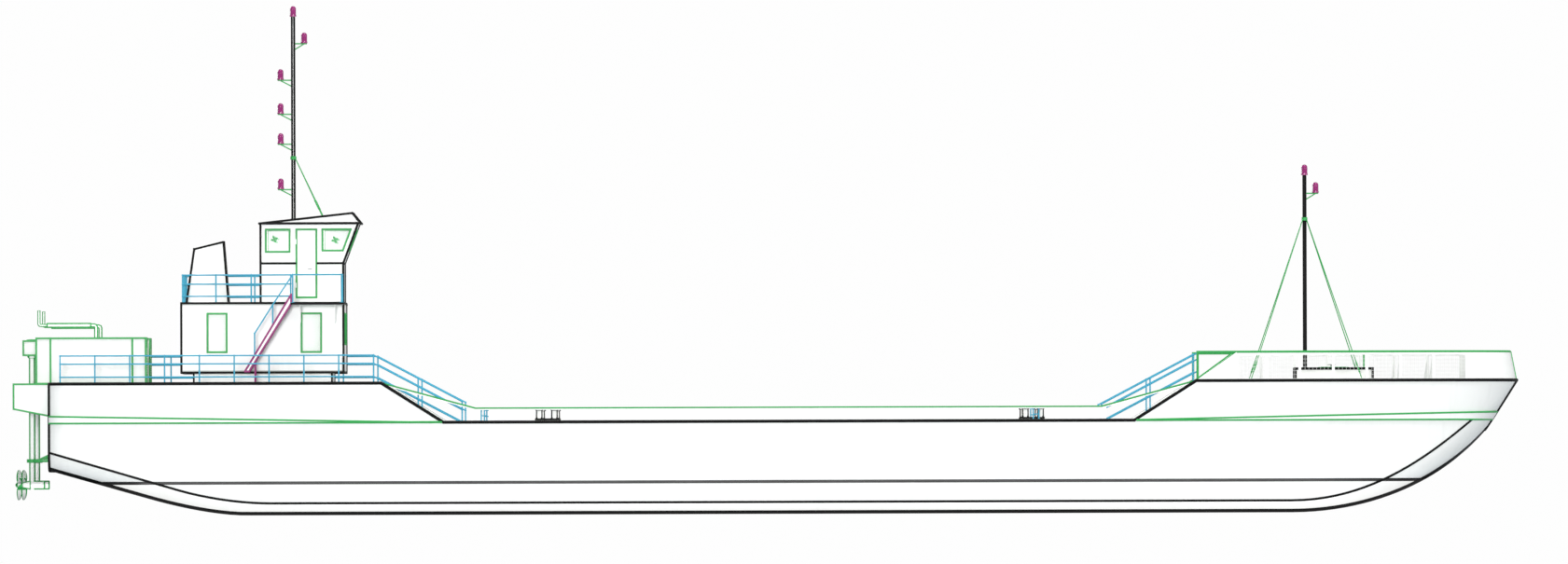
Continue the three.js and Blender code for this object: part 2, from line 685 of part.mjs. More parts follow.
for (const [side, s] of SIDES) {
  const frame = new THREE.Group();
  frame.position.set(SIDE_DOOR.x - HINGE.side, s * (WHEELHOUSE.halfWidth + HINGE.out), 0);
  frame.scale.y = s;
  frame.updateMatrix();
  barge.add(frame);
  piece(`wheelhouse_door_${side}`, doorLeaf(SIDE_DOOR.width, SIDE_DOOR.z), WHITE, frame);

  const { halfWidth } = WHEELHOUSE;
  const through = [s * (halfWidth - 2 * PLATE), s * (halfWidth + PLATE)];
  const doorway = block([SIDE_DOOR.x, SIDE_DOOR.x + SIDE_DOOR.width], through, SIDE_DOOR.z);
  const windows = SIDE_WINDOWS.map((points) => across(points, through));
  const wall = across(wheelhouseSide, [s * (halfWidth - PLATE), s * halfWidth]);
  const hinges = doorHinges(SIDE_DOOR.z).map((solid) => moved(solid, frame.matrix));
  piece(`wheelhouse_wall_${side}`, join(cut(wall, doorway, windows), hinges), WHITE);
}

const rake = (WHEELHOUSE.brow - WHEELHOUSE.fore) / (WHEELHOUSE.top - WHEELHOUSE.belt);
const frontAt = (z) => WHEELHOUSE.fore + rake * Math.max(0, z - WHEELHOUSE.belt);
const cabinHalf = WHEELHOUSE.halfWidth - PLATE;
const CABIN_WINDOW = { count: 3, width: 980, gap: 120, low: 9610, top: 10380 };

function rowOfWindows(xAtLow, xAtTop) {
  const { count, width, gap, low, top } = CABIN_WINDOW;
  const reach = 2 * PLATE;
  return Array.from({ length: count }, (_, i) => {
    const y = (i - (count - 1) / 2) * (width + gap);
    const outline = [
      [xAtLow - reach, low],
      [xAtLow + reach, low],
      [xAtTop + reach, top],
      [xAtTop - reach, top],
    ];
    return across(outline, [y - width / 2, y + width / 2]);
  });
}

const frontOutline = [
  [WHEELHOUSE.fore - PLATE, HOUSE.top],
  [WHEELHOUSE.fore, HOUSE.top],
  [WHEELHOUSE.fore, WHEELHOUSE.belt],
  [WHEELHOUSE.brow, WHEELHOUSE.top],
  [WHEELHOUSE.brow - PLATE, WHEELHOUSE.top],
  [WHEELHOUSE.fore - PLATE, WHEELHOUSE.belt],
];
piece(
  "wheelhouse_wall_fore",
  cut(
    across(frontOutline, [-cabinHalf, cabinHalf]),
    rowOfWindows(frontAt(CABIN_WINDOW.low), frontAt(CABIN_WINDOW.top)),
  ),
  WHITE,
);
piece(
  "wheelhouse_wall_aft",
  cut(
    block([WHEELHOUSE.aft, WHEELHOUSE.aft + PLATE], [-cabinHalf, cabinHalf], [HOUSE.top, WHEELHOUSE.top]),
    rowOfWindows(WHEELHOUSE.aft, WHEELHOUSE.aft),
  ),
  WHITE,
);

const ROOF_LINE = { aft: 7540, peak: [10920, 10970], tip: [11210, 10610], eaves: 30, overhang: 110 };
const eavesTop = WHEELHOUSE.top + ROOF_LINE.eaves;
const roofTopAt = (x) =>
  eavesTop + ((ROOF_LINE.peak[1] - eavesTop) * (x - ROOF_LINE.aft)) / (ROOF_LINE.peak[0] - ROOF_LINE.aft);
const wheelhouseRoof = (lift = 0) =>
  across(
    [
      [ROOF_LINE.aft, WHEELHOUSE.top],
      [ROOF_LINE.tip[0], WHEELHOUSE.top],
      [ROOF_LINE.tip[0], ROOF_LINE.tip[1] + lift],
      [ROOF_LINE.peak[0], ROOF_LINE.peak[1] + lift],
      [ROOF_LINE.aft, eavesTop + lift],
    ],
    [-WHEELHOUSE.halfWidth - ROOF_LINE.overhang, WHEELHOUSE.halfWidth + ROOF_LINE.overhang],
  );
piece("wheelhouse_roof", wheelhouseRoof(), WHITE);

// Funnel

// Each ring runs between an after and a fore point of x and z, at half its breadth.
const FUNNEL = [
  { aft: [4830, HOUSE.top], fore: [6415, HOUSE.top], half: 600 },
  { aft: [5117, 9690], fore: [6236, 9940], half: 480 },
];
const funnelRings = FUNNEL.map(({ aft: [aftX, aftZ], fore: [foreX, foreZ], half }) => [
  [aftX, -half, aftZ],
  [foreX, -half, foreZ],
  [foreX, half, foreZ],
  [aftX, half, aftZ],
]);
piece("funnel", loft(funnelRings), WHITE);

// Rails of the house top, open round the funnel

const TOP_RAIL = { edge: 3150, heights: [1020, 690, 250], posts: [4780, 5990, 7270, 8700], funnelY: 760 };

for (const [side, s] of SIDES) {
  const y = s * TOP_RAIL.edge;
  const [aft, fore] = [TOP_RAIL.posts[0], TOP_RAIL.posts.at(-1)];
  const inner = s * TOP_RAIL.funnelY;
  const spots = [...TOP_RAIL.posts.map((x) => [x, y]), [aft, (y + inner) / 2], [aft, inner]];
  const posts = spots.map(([x, py]) =>
    rod([x, py, HOUSE.top], [x, py, HOUSE.top + TOP_RAIL.heights[0]], RAIL.pipe),
  );
  const bars = TOP_RAIL.heights.flatMap((height) => {
    const z = HOUSE.top + height;
    return pipeRun([
      [fore, y, z],
      [aft, y, z],
      [aft, inner, z],
    ]);
  });
  piece(`rail_upper_${side}`, join(posts, bars), BLUE);
}

// Stairs up the sides of the deckhouse, each with a handrail that goes on round its wing

const STAIR = {
  low: 5220,
  back: [7050, 8550],
  front: [7200, 8740],
  inner: 3300,
  outer: 3900,
  stringer: 40,
  treads: 9,
  tread: { depth: 230, thickness: 30, ends: 20, back: 10 },
  leg: { x: 7420, width: 60, above: 60 },
};
const HAND_RAIL = {
  foot: [7400, 6590],
  middle: [8060, 7630],
  head: [8785, 8720],
  fore: 10560,
  root: 140, // how far the posts are drawn into the stringer before it trims them
  wingEdge: 60,
  doorway: 400,
};

const stringerOutline = (lift = 0) => [
  [STAIR.back[0], STAIR.low],
  [STAIR.front[0], STAIR.low],
  [STAIR.front[1], HOUSE.top],
  [STAIR.back[1], HOUSE.top + lift],
  [STAIR.back[0], STAIR.low + lift],
];

function stair(s) {
  const { low, back, front, inner, outer, stringer, treads: count, tread, leg } = STAIR;
  const climb = HOUSE.top - low;
  const stringers = [inner, outer].map((y) => across(stringerOutline(), [s * y, s * (y + stringer)]));
  const treads = Array.from({ length: count }, (_, i) => {
    const share = (i + 1) / (count + 1);
    const z = low + climb * share;
    const x = back[0] + (back[1] - back[0]) * share - tread.back;
    const y = [s * (inner + tread.ends), s * (outer + tread.ends)];
    return block([x, x + tread.depth], y, [z - tread.thickness, z]);
  });
  const legTop = low + ((leg.x - front[0]) * climb) / (front[1] - front[0]) + leg.above;
  const legs = [inner, outer].map((y) =>
    block([leg.x - leg.width / 2, leg.x + leg.width / 2], [s * y, s * (y + stringer)], [RAISED_DECK, legTop]),
  );
  return join(stringers, treads, legs);
}

function handRail(s) {
  const y = s * (STAIR.outer + STAIR.stringer / 2);
  const { foot, middle, head, fore, root, wingEdge, doorway } = HAND_RAIL;
  const [headX, top] = head;
  const wingY = s * (WING.halfWidth - wingEdge);
  const innerY = s * (WHEELHOUSE.halfWidth + doorway);
  const stringerPitch = (HOUSE.top - STAIR.low) / (STAIR.back[1] - STAIR.back[0]);
  const inStringer = (x) => STAIR.low + stringerPitch * (x - STAIR.back[0]) - root;
  const stairPosts = [foot, middle].map(([x, z]) => rod([x, y, inStringer(x)], [x, y, z], RAIL.pipe));
  const wingCorners = [
    [headX, y],
    [fore, wingY],
    [fore, innerY],
  ];
  const wingPosts = wingCorners.map(([x, py]) => rod([x, py, HOUSE.top], [x, py, top], RAIL.pipe));
  const bars = pipeRun([
    [foot[0], y, foot[1]],
    [middle[0], y, middle[1]],
    ...wingCorners.map(([x, py]) => [x, py, top]),
  ]);
  const clearance = across(
    stringerOutline(FIT_GAP),
    [s * (STAIR.outer - RAIL.pipe), s * (STAIR.outer + STAIR.stringer + RAIL.pipe)],
  );
  return cut(join(stairPosts, wingPosts, bars), clearance);
}

for (const [side, s] of SIDES) {
  piece(`stair_${side}`, stair(s), MAGENTA);
  piece(`rail_stair_${side}`, handRail(s), BLUE);
}

// Masts with their lamps, and the main stays

const STAY = 40;
const STAY_COLLAR = { height: 120, wall: 30, inset: 5 };
const ARM = { bar: 45, beyond: 60, brace: 40 };
const LAMP_SEAT = 10; // how far a lamp's foot is sunk in what carries it

const lampOn = (x, base) =>
  rod([x, 0, base - LAMP_SEAT], [x, 0, base + LAMP.height], LAMP.diameter, ROUND, LAMP.topDiameter);

// A lamp on an arm that reaches out from the mast: direction is 1 forward and -1 aft.
function armLamp(mastX, lampX, base) {
  const direction = Math.sign(lampX - mastX);
  const armZ = base - ARM.bar / 2;
  return [
    rod([mastX, 0, armZ], [lampX + direction * ARM.beyond, 0, armZ], ARM.bar),
    rod([mastX, 0, base - LAMP.drop], [lampX - direction * ARM.brace, 0, base - ARM.bar], ARM.bar),
    lampOn(lampX, base),
  ];
}

function mast({ x, diameter, top }, foot, lamps) {
  const pole = rod([x, 0, foot], [x, 0, top], diameter, ROUND);
  return join(pole, lampOn(x, top), lamps.flatMap(([lampX, base]) => armLamp(x, lampX, base)));
}

// Stays from a collar on the mast down to their feet.
function stays({ x, diameter, top }, z, feet) {
  const collarDiameter = diameter + 2 * STAY_COLLAR.wall;
  const low = z - STAY_COLLAR.height;
  const collar = rod([x, 0, low], [x, 0, z], collarDiameter, ROUND);
  const bars = feet.map((foot) => {
    const away = new THREE.Vector2(foot[0] - x, foot[1]).setLength(collarDiameter / 2 - STAY_COLLAR.inset);
    return rod([x + away.x, away.y, z - STAY_COLLAR.height / 2], foot, STAY);
  });
  const bore = rod([x, 0, 0], [x, 0, top], diameter + 2 * FIT_GAP, ROUND);
  return cut(join(collar, bars), bore);
}

// Columns: place of the lamp on x, height of its base.
const MAIN_LAMPS = [
  [9155, 17180],
  [8290, 15850],
  [8290, 14610],
  [8290, 13520],
  [8290, 11870],
];
const FORE_LAMPS = [[45940, 11620]];

piece("mast_main", cut(mast(MAIN_MAST, WHEELHOUSE.top, MAIN_LAMPS), wheelhouseRoof(FIT_GAP)), BLACK);
const MAIN_STAY = { z: 13060, x: 9830, y: 1300 };
const STAY_ROOT = 60; // how far a stay is drawn into what carries its foot before that trims it
const mainStayFeet = SIDES.map(([, s]) => [MAIN_STAY.x, s * MAIN_STAY.y, roofTopAt(MAIN_STAY.x) - STAY_ROOT]);
piece("stays_main", cut(stays(MAIN_MAST, MAIN_STAY.z, mainStayFeet), wheelhouseRoof(FIT_GAP)), GREEN);

piece("mast_fore", mast(FORE_MAST, TRUNK.top, FORE_LAMPS), BLACK);
const FORE_STAY = { z: 10730, xs: [43520, 47580], y: 2300 };
const foreStayFeet = FORE_STAY.xs.flatMap((x) =>
  SIDES.map(([, s]) => [x, s * FORE_STAY.y, RAISED_DECK - STAY_ROOT]),
);
const underDeck = block([FORE_BREAK.top, BOW_TIP], [-HALF_BEAM, HALF_BEAM], [CARGO_DECK, RAISED_DECK]);
piece("stays_fore", cut(stays(FORE_MAST, FORE_STAY.z, foreStayFeet), underDeck), GREEN);

// Trunk on the foredeck, its hatch and its vent

const HATCH_HINGE = { x: HATCH.fore + 30, z: TRUNK.top + 40, length: 120, ys: [-300, 300] };
const LID_STRAP = { onLid: 80, z: [HATCH_HINGE.z + 4, HATCH_HINGE.z + 22] };

const hatchBarrels = (y0, y1) => {
  const { x, z, ys } = HATCH_HINGE;
  return ys.map((y) => rod([x, y + y0, z], [x, y + y1, z], HINGE.diameter, ROUND));
};
const trunkBody = block(
  [TRUNK.aft, TRUNK.fore],
  [-TRUNK.halfWidth, TRUNK.halfWidth],
  [RAISED_DECK, TRUNK.top],
);
const hatchLugs = HATCH_HINGE.ys.map((y) =>
  block(
    [HATCH_HINGE.x - HINGE.lap, HATCH_HINGE.x + HINGE.lug],
    [y - HATCH_HINGE.length, y - FIT_GAP / 2],
    [TRUNK.top - LAP, HATCH_HINGE.z],
  ),
);
piece("trunk", join(trunkBody, hatchLugs, hatchBarrels(-HATCH_HINGE.length, -FIT_GAP / 2)), WHITE);

const hatchFrame = new THREE.Group();
hatchFrame.position.set(HATCH_HINGE.x, 0, HATCH_HINGE.z);
hatchFrame.updateMatrix();
barge.add(hatchFrame);
const lid = block(
  [HATCH.aft, HATCH.fore],
  [-HATCH.halfWidth, HATCH.halfWidth],
  [TRUNK.top + FIT_GAP, TRUNK.top + HATCH.thickness],
);
const lidStraps = HATCH_HINGE.ys.map((y) =>
  block(
    [HATCH.fore - LID_STRAP.onLid, HATCH_HINGE.x],
    [y + FIT_GAP / 2, y + HATCH_HINGE.length],
    LID_STRAP.z,
  ),
);
const toHatchFrame = hatchFrame.matrix.clone().invert();
piece(
  "hatch_lid",
  moved(join(lid, lidStraps, hatchBarrels(FIT_GAP / 2, HATCH_HINGE.length)), toHatchFrame),
  WHITE,
  hatchFrame,
);

const VENT = { x: 47680, top: 5880, pipe: 60, head: 120, headHeight: 70 };
piece(
  "vent",
  join(
    rod([VENT.x, 0, TRUNK.top], [VENT.x, 0, VENT.top - VENT.headHeight / 2], VENT.pipe, ROUND),
    rod([VENT.x, 0, VENT.top - VENT.headHeight], [VENT.x, 0, VENT.top], VENT.head, ROUND),
  ),
  GREEN,
);

// Stern platform, with a well for each thruster's leg

const platformOutline = [
  [STERN_PLATFORM.aft, STERN_PLATFORM.lowAft],
  [0, STERN_PLATFORM.lowFore],
  [0, RAISED_DECK],
  [STERN_PLATFORM.aft, RAISED_DECK],
];
const WELL = { diameter: THRUSTER.legDiameter + 2 * RUN_GAP, sides: 24, beyond: 400 };
const wells = SIDES.map(([, s]) => {
  const axis = [THRUSTER.x, s * THRUSTER.y];
  const ends = [STERN_PLATFORM.lowFore - WELL.beyond, RAISED_DECK + WELL.beyond];
  return rod([...axis, ends[0]], [...axis, ends[1]], WELL.diameter, WELL.sides);
});
piece(
  "stern_platform",
  cut(across(platformOutline, [-STERN_PLATFORM.halfWidth, STERN_PLATFORM.halfWidth]), wells),
  GREEN,
);

// Thrusters: an engine casing with its gear head, an exhaust, a turning leg with its pod, a propeller
// on the pod's aft end and a steadying bracket on the transom

const LEG_SIDES = 16;
const POD = { aft: -810, fore: -230, diameter: 331, coneAft: -1040 };
const LEG_FLANGE = { diameter: 320, height: 60 };
const BRACKET = {
  low: 1930,
  top: 2060,
  halfWidth: 260,
  ring: 200,
  brace: { top: 2270, aft: 190, half: 40 },
};
const GEAR_HEAD = { aft: -1000, half: 320 };
const EXHAUST = {
  z: 6910,
  riser: { x: 1635, diameter: 150 },
  body: { ends: [-162, 1464], diameter: 190, overlap: 50 },
  tail: { x: -436, top: 7460, diameter: 115 },
  sides: 10,
};

function engineCasing() {
  const half = CASING.width / 2;
  const shell = block([CASING.aft, CASING.fore], [-half, half], [RAISED_DECK, CASING.top]);
  const head = block(
    [GEAR_HEAD.aft, CASING.aft],
    [-GEAR_HEAD.half, GEAR_HEAD.half],
    [THRUSTER.headLow, THRUSTER.headTop],
  );
  return join(shell, head);
}

// The riser, the silencer with the bend at its fore end, the pipe aft of it and its upturned end.
function exhaust() {
  const { z, riser, body, tail, sides } = EXHAUST;
  const tailRadius = tail.diameter / 2;
  const bodyAft = body.ends[0];
  return join(
    rod([riser.x, 0, CASING.top], [riser.x, 0, z], riser.diameter, sides),
    rod([riser.x + riser.diameter / 2, 0, z], [body.ends[1] - LAP, 0, z], riser.diameter, sides),
    rod([body.ends[1], 0, z], [bodyAft, 0, z], body.diameter, sides),
    rod([bodyAft + body.overlap, 0, z], [tail.x - tailRadius, 0, z], tail.diameter, sides),
    rod([tail.x, 0, z - tailRadius], [tail.x, 0, tail.top], tail.diameter, sides),
  );
}

// The leg, its flange under the gear head, the pod and the pod's cone, round the turning axis.
function thrusterLeg() {
  const flangeTop = THRUSTER.headLow - FIT_GAP;
  const toLeg = -THRUSTER.x;
  const [fore, aft, coneAft] = [POD.fore, POD.aft, POD.coneAft].map((x) => [x + toLeg, 0, PROPELLER.z]);
  return join(
    rod([0, 0, THRUSTER.low], [0, 0, flangeTop], THRUSTER.legDiameter, LEG_SIDES),
    rod([0, 0, flangeTop - LEG_FLANGE.height], [0, 0, flangeTop], LEG_FLANGE.diameter, LEG_SIDES),
    rod(fore, aft, POD.diameter, LEG_SIDES),
    rod(aft, coneAft, POD.diameter, LEG_SIDES, PROPELLER.hub),
  );
}

// Four twisted blades on a hub that runs along x.
function propeller() {
  const { hub, hubAft, diameter, blades, pitchDegrees } = PROPELLER;
  const hubFore = POD.coneAft - PROPELLER.x - FIT_GAP;
  const hubBody = rod([hubFore, 0, 0], [hubAft, 0, 0], hub, LEG_SIDES, hub * 0.5);
  const stations = [
    // radius, chord, thickness, extra twist in degrees
    [hub * 0.3, 190, 40, 30],
    [diameter * 0.28, 300, 30, 14],
    [diameter * 0.42, 300, 22, 4],
    [diameter / 2, 150, 12, 0],
  ];
  const blade = loft(
    stations.map(([radius, chord, thickness, twist]) => {
      const angle = THREE.MathUtils.degToRad(pitchDegrees + twist);
      const [sin, cos] = [Math.sin(angle), Math.cos(angle)];
      const corner = (u, v) => [u * sin + v * cos, u * cos - v * sin, radius];
      return [
        corner(-chord / 2, 0),
        corner(0, -thickness / 2),
        corner(chord / 2, 0),
        corner(0, thickness / 2),
      ];
    }),
  );
  const turned = Array.from({ length: blades }, (_, i) =>
    moved(blade, new THREE.Matrix4().makeRotationX((i * 2 * Math.PI) / blades)),
  );
  return join(hubBody, turned);
}

// A plate from the transom with a ring round the leg and a brace above it, in the leg's own frame.
function legBracket() {
  const toTransom = -THRUSTER.x;
  const plate = upright(
    [
      [0, -BRACKET.ring],
      [toTransom, -BRACKET.halfWidth],
      [toTransom, BRACKET.halfWidth],
      [0, BRACKET.ring],
    ],
    [BRACKET.low, BRACKET.top],
  );
  const ring = rod([0, 0, BRACKET.low], [0, 0, BRACKET.top], 2 * BRACKET.ring, WELL.sides);
  const { brace } = BRACKET;
  const web = across(
    [
      [brace.aft, BRACKET.top - LAP],
      [toTransom, BRACKET.top - LAP],
      [toTransom, brace.top],
    ],
    [-brace.half, brace.half],
  );
  const ends = [BRACKET.low - WELL.beyond, BRACKET.top + WELL.beyond];
  return cut(join(plate, ring, web), rod([0, 0, ends[0]], [0, 0, ends[1]], WELL.diameter, WELL.sides));
}

for (const [side, s] of SIDES) {
  const station = new THREE.Group();
  station.position.y = s * THRUSTER.y;
  barge.add(station);
  piece(`engine_casing_${side}`, engineCasing(), GREEN, station);
  piece(`exhaust_${side}`, exhaust(), GREEN, station);

  const turning = new THREE.Group();
  turning.position.x = THRUSTER.x;
  station.add(turning);
  piece(`thruster_leg_${side}`, thrusterLeg(), GREEN, turning);
  piece(`thruster_bracket_${side}`, legBracket(), GREEN, turning);

  const shaft = new THREE.Group();
  shaft.position.set(PROPELLER.x - THRUSTER.x, 0, PROPELLER.z);
  turning.add(shaft);
  piece(`propeller_${side}`, propeller(), BRONZE, shaft);
}

export default barge;
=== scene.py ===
"""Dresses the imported 1:2 model of a river barge, and sets its camera, light and floor.

Sizes are those of the full-size vessel in metres: x forward from frame 0 at the transom, y to port,
z up from the base line. Shaper turns them into the model's own frame when it makes an object.
"""

from __future__ import annotations

import logging
import math
from dataclasses import dataclass
from enum import Enum
from functools import cached_property
from itertools import product
from typing import Callable, Iterable, Sequence

import bmesh
import bpy
from mathutils import Matrix, Vector

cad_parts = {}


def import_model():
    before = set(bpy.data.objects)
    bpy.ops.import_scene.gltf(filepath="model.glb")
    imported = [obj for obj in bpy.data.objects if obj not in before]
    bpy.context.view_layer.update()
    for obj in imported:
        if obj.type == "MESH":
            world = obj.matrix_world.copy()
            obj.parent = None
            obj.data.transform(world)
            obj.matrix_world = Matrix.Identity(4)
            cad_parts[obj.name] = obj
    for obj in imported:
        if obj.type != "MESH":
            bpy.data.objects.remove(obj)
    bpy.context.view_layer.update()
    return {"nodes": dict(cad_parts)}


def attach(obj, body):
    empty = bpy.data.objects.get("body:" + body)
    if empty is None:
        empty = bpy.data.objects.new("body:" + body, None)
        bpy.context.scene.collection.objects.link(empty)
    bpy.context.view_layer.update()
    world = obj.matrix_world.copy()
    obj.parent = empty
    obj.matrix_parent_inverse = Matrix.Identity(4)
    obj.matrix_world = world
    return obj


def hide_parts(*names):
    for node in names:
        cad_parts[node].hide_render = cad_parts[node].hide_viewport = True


logging.basicConfig(level=logging.INFO, format="%(message)s")
log = logging.getLogger("barge")

Point = tuple[float, float, float] | Vector
Flat = tuple[float, float]
Line = tuple[Flat, ...]
Row = tuple[float, ...]

MODEL_SCALE = 0.5
MIDDLE_X = 25.925
TO_MODEL = Matrix.Scale(MODEL_SCALE, 4) @ Matrix.Translation((-MIDDLE_X, 0.0, 0.0))

SIDES: tuple[tuple[str, int], ...] = (("starboard", -1), ("port", 1))
HULL_BODY = "hull"

HALF_BEAM = 5.2
RAISED_DECK = 4.775
CARGO_DECK = 3.35
WATERLINE = 1.17
WATERLINE_STRIPE = 0.115
AFT_BREAK_TOP, AFT_BREAK_FOOT = 12.0, 14.25
FORE_BREAK_FOOT, FORE_BREAK_TOP = 39.25, 41.5
BOW_TIP = 53.18
TRIM = 0.078
BLACK_PAINT = "0a0a0a"


def srgb(code: str) -> tuple[float, float, float, float]:
    """Turns a six-digit colour code into linear red, green, blue and alpha.

    Args:
        code: Two hexadecimal digits each for red, green and blue.

    Returns:
        The linear colour with an alpha of one.
    """
    parts = [int(code[i : i + 2], 16) / 255 for i in (0, 2, 4)]
    linear = [p / 12.92 if p <= 0.04045 else ((p + 0.055) / 1.055) ** 2.4 for p in parts]
    return (linear[0], linear[1], linear[2], 1.0)


class Sheet:
    """A node tree that is being filled in."""

    def __init__(self, tree: bpy.types.NodeTree) -> None:
        """Starts on a tree, which it empties."""
        self.tree = tree
        tree.nodes.clear()

    def add(self, kind: str, inputs: dict | None = None, **settings: object) -> bpy.types.Node:
        """Makes a node, sets its properties, and sets or links its inputs.

        Args:
            kind: The node's type name.
            inputs: Input names or numbers with a value or an output socket.
            settings: Properties of the node.

        Returns:
            The new node.
        """
        node = self.tree.nodes.new(kind)
        for name, value in settings.items():
            setattr(node, name, value)
        for key, value in (inputs or {}).items():
            if isinstance(value, bpy.types.NodeSocket):
                self.tree.links.new(value, node.inputs[key])
            else:
                node.inputs[key].default_value = value
        return node

    def math(self, operation: str, *values: object) -> bpy.types.NodeSocket:
        """Makes a math node from numbers or sockets and returns its output."""
        return self.add("ShaderNodeMath", dict(enumerate(values)), operation=operation).outputs[0]

    def mix(self, factor: object, first: object, second: object) -> bpy.types.NodeSocket:
        """Mixes two colours by the share of the second and returns the result's socket."""
        return self.add("ShaderNodeMix", {0: factor, 6: first, 7: second}, data_type="RGBA").outputs[2]

    def noise(self, vector: bpy.types.NodeSocket, scale: float, detail: float) -> bpy.types.NodeSocket:
        """Makes a noise texture and returns its value's socket."""
        inputs = {"Vector": vector, "Scale": scale, "Detail": detail}
        return self.add("ShaderNodeTexNoise", inputs).outputs["Fac"]

    def mask(self, value: object, low: float, high: float, most: float) -> bpy.types.NodeSocket:
        """Makes a mask that grows from nothing to its most as the value goes from low to high."""
        inputs = {"Value": value, "From Min": low, "From Max": high, "To Max": most}
        return self.add("ShaderNodeMapRange", inputs).outputs[0]

    def surface(self, inputs: dict[str, object]) -> None:
        """Makes the surface shader and links it to the material's output."""
        shader = self.add("ShaderNodeBsdfPrincipled", inputs)
        self.add("ShaderNodeOutputMaterial", {"Surface": shader.outputs[0]})


def new_material(name: str) -> tuple[bpy.types.Material, Sheet]:
    """Makes a material with an empty node tree.

    Args:
        name: Its name.

    Returns:
        The material and its sheet.
    """
    made = bpy.data.materials.new(name)
    made.use_nodes = True
    return made, Sheet(made.node_tree)


class GroupKit:
    """The shader node groups that the finishes share, each built once."""

    @staticmethod
    def start(
        name: str, inputs: dict[str, str], outputs: dict[str, str]
    ) -> tuple[Sheet, bpy.types.NodeOutputs]:
        """Begins a group with named sockets.

        Args:
            name: The group's name.
            inputs: Socket names with their types.
            outputs: Socket names with their types.

        Returns:
            The group's sheet and the sockets of what is given to it.
        """
        tree = bpy.data.node_groups.new(name, "ShaderNodeTree")
        for direction, sockets in (("INPUT", inputs), ("OUTPUT", outputs)):
            for socket, kind in sockets.items():
                tree.interface.new_socket(socket, in_out=direction, socket_type=f"NodeSocket{kind}")
        sheet = Sheet(tree)
        return sheet, sheet.add("NodeGroupInput").outputs

    @cached_property
    def weather(self) -> bpy.types.NodeTree:
        """Uneven paint: cloudy colour, streaks that run down, and a fine orange peel.

        Returns:
            The group.
        """
        sheet, given = self.start(
            "weather",
            {"Vector": "Vector", "Base": "Color", "Dirt": "Color", "Amount": "Float", "Roughness": "Float"},
            {"Color": "Color", "Roughness": "Float", "Height": "Float"},
        )
        clouds = sheet.noise(given["Vector"], scale=1.1, detail=5.0)
        stretched = sheet.add("ShaderNodeMapping", {"Vector": given["Vector"], "Scale": (7.0, 7.0, 0.5)})
        runs = sheet.noise(stretched.outputs[0], scale=1.0, detail=6.0)
        streaks = sheet.mask(runs, low=0.52, high=0.8, most=1.0)
        patches = sheet.mask(clouds, low=0.35, high=0.75, most=0.5)
        factor = sheet.math("MULTIPLY", sheet.math("ADD", streaks, patches), given["Amount"])
        results = {
            "Color": sheet.mix(factor, given["Base"], given["Dirt"]),
            "Roughness": sheet.math("MULTIPLY_ADD", clouds, 0.16, given["Roughness"]),
            "Height": sheet.noise(given["Vector"], scale=55.0, detail=2.0),
        }
        sheet.add("NodeGroupOutput", results)
        return sheet.tree

    @cached_property
    def seams(self) -> bpy.types.NodeTree:
        """Weld seams of plating: a thin raised line round each plate, by its length and height.

        Returns:
            The group.
        """
        sizes = {"Length": "Float", "Height": "Float", "Width": "Float"}
        sheet, given = self.start("seams", {"Vector": "Vector", **sizes}, {"Line": "Float"})
        parts = sheet.add("ShaderNodeSeparateXYZ", {0: given["Vector"]}).outputs
        lines = []
        for axis, pitch in (("X", "Length"), ("Z", "Height")):
            near = sheet.math("PINGPONG", sheet.math("DIVIDE", parts[axis], given[pitch]), 0.5)
            lines.append(sheet.math("LESS_THAN", sheet.math("MULTIPLY", near, given[pitch]), given["Width"]))
        sheet.add("NodeGroupOutput", {"Line": sheet.math("MAXIMUM", *lines)})
        return sheet.tree

    @cached_property
    def stripe(self) -> bpy.types.NodeTree:
        """A level painted stripe at a height.

        Returns:
            The group.
        """
        sizes = {"Middle": "Float", "Half Width": "Float"}
        sheet, given = self.start("stripe", {"Vector": "Vector", **sizes}, {"Mask": "Float"})
        parts = sheet.add("ShaderNodeSeparateXYZ", {0: given["Vector"]}).outputs
        away = sheet.math("ABSOLUTE", sheet.math("SUBTRACT", parts["Z"], given["Middle"]))
        sheet.add("NodeGroupOutput", {"Mask": sheet.math("LESS_THAN", away, given["Half Width"])})
        return sheet.tree

    @cached_property
    def tread(self) -> bpy.types.NodeTree:
        """Non-slip deck coating: sand grains over a soft large unevenness.

        Returns:
            The group.
        """
        sheet, given = self.start("tread", {"Vector": "Vector"}, {"Height": "Float", "Shade": "Float"})
        grains = sheet.add("ShaderNodeTexVoronoi", {"Vector": given["Vector"], "Scale": 42.0})
        worn = sheet.noise(given["Vector"], scale=0.7, detail=6.0)
        sheet.add("NodeGroupOutput", {"Height": grains.outputs["Distance"], "Shade": worn})
        return sheet.tree


GROUPS = GroupKit()


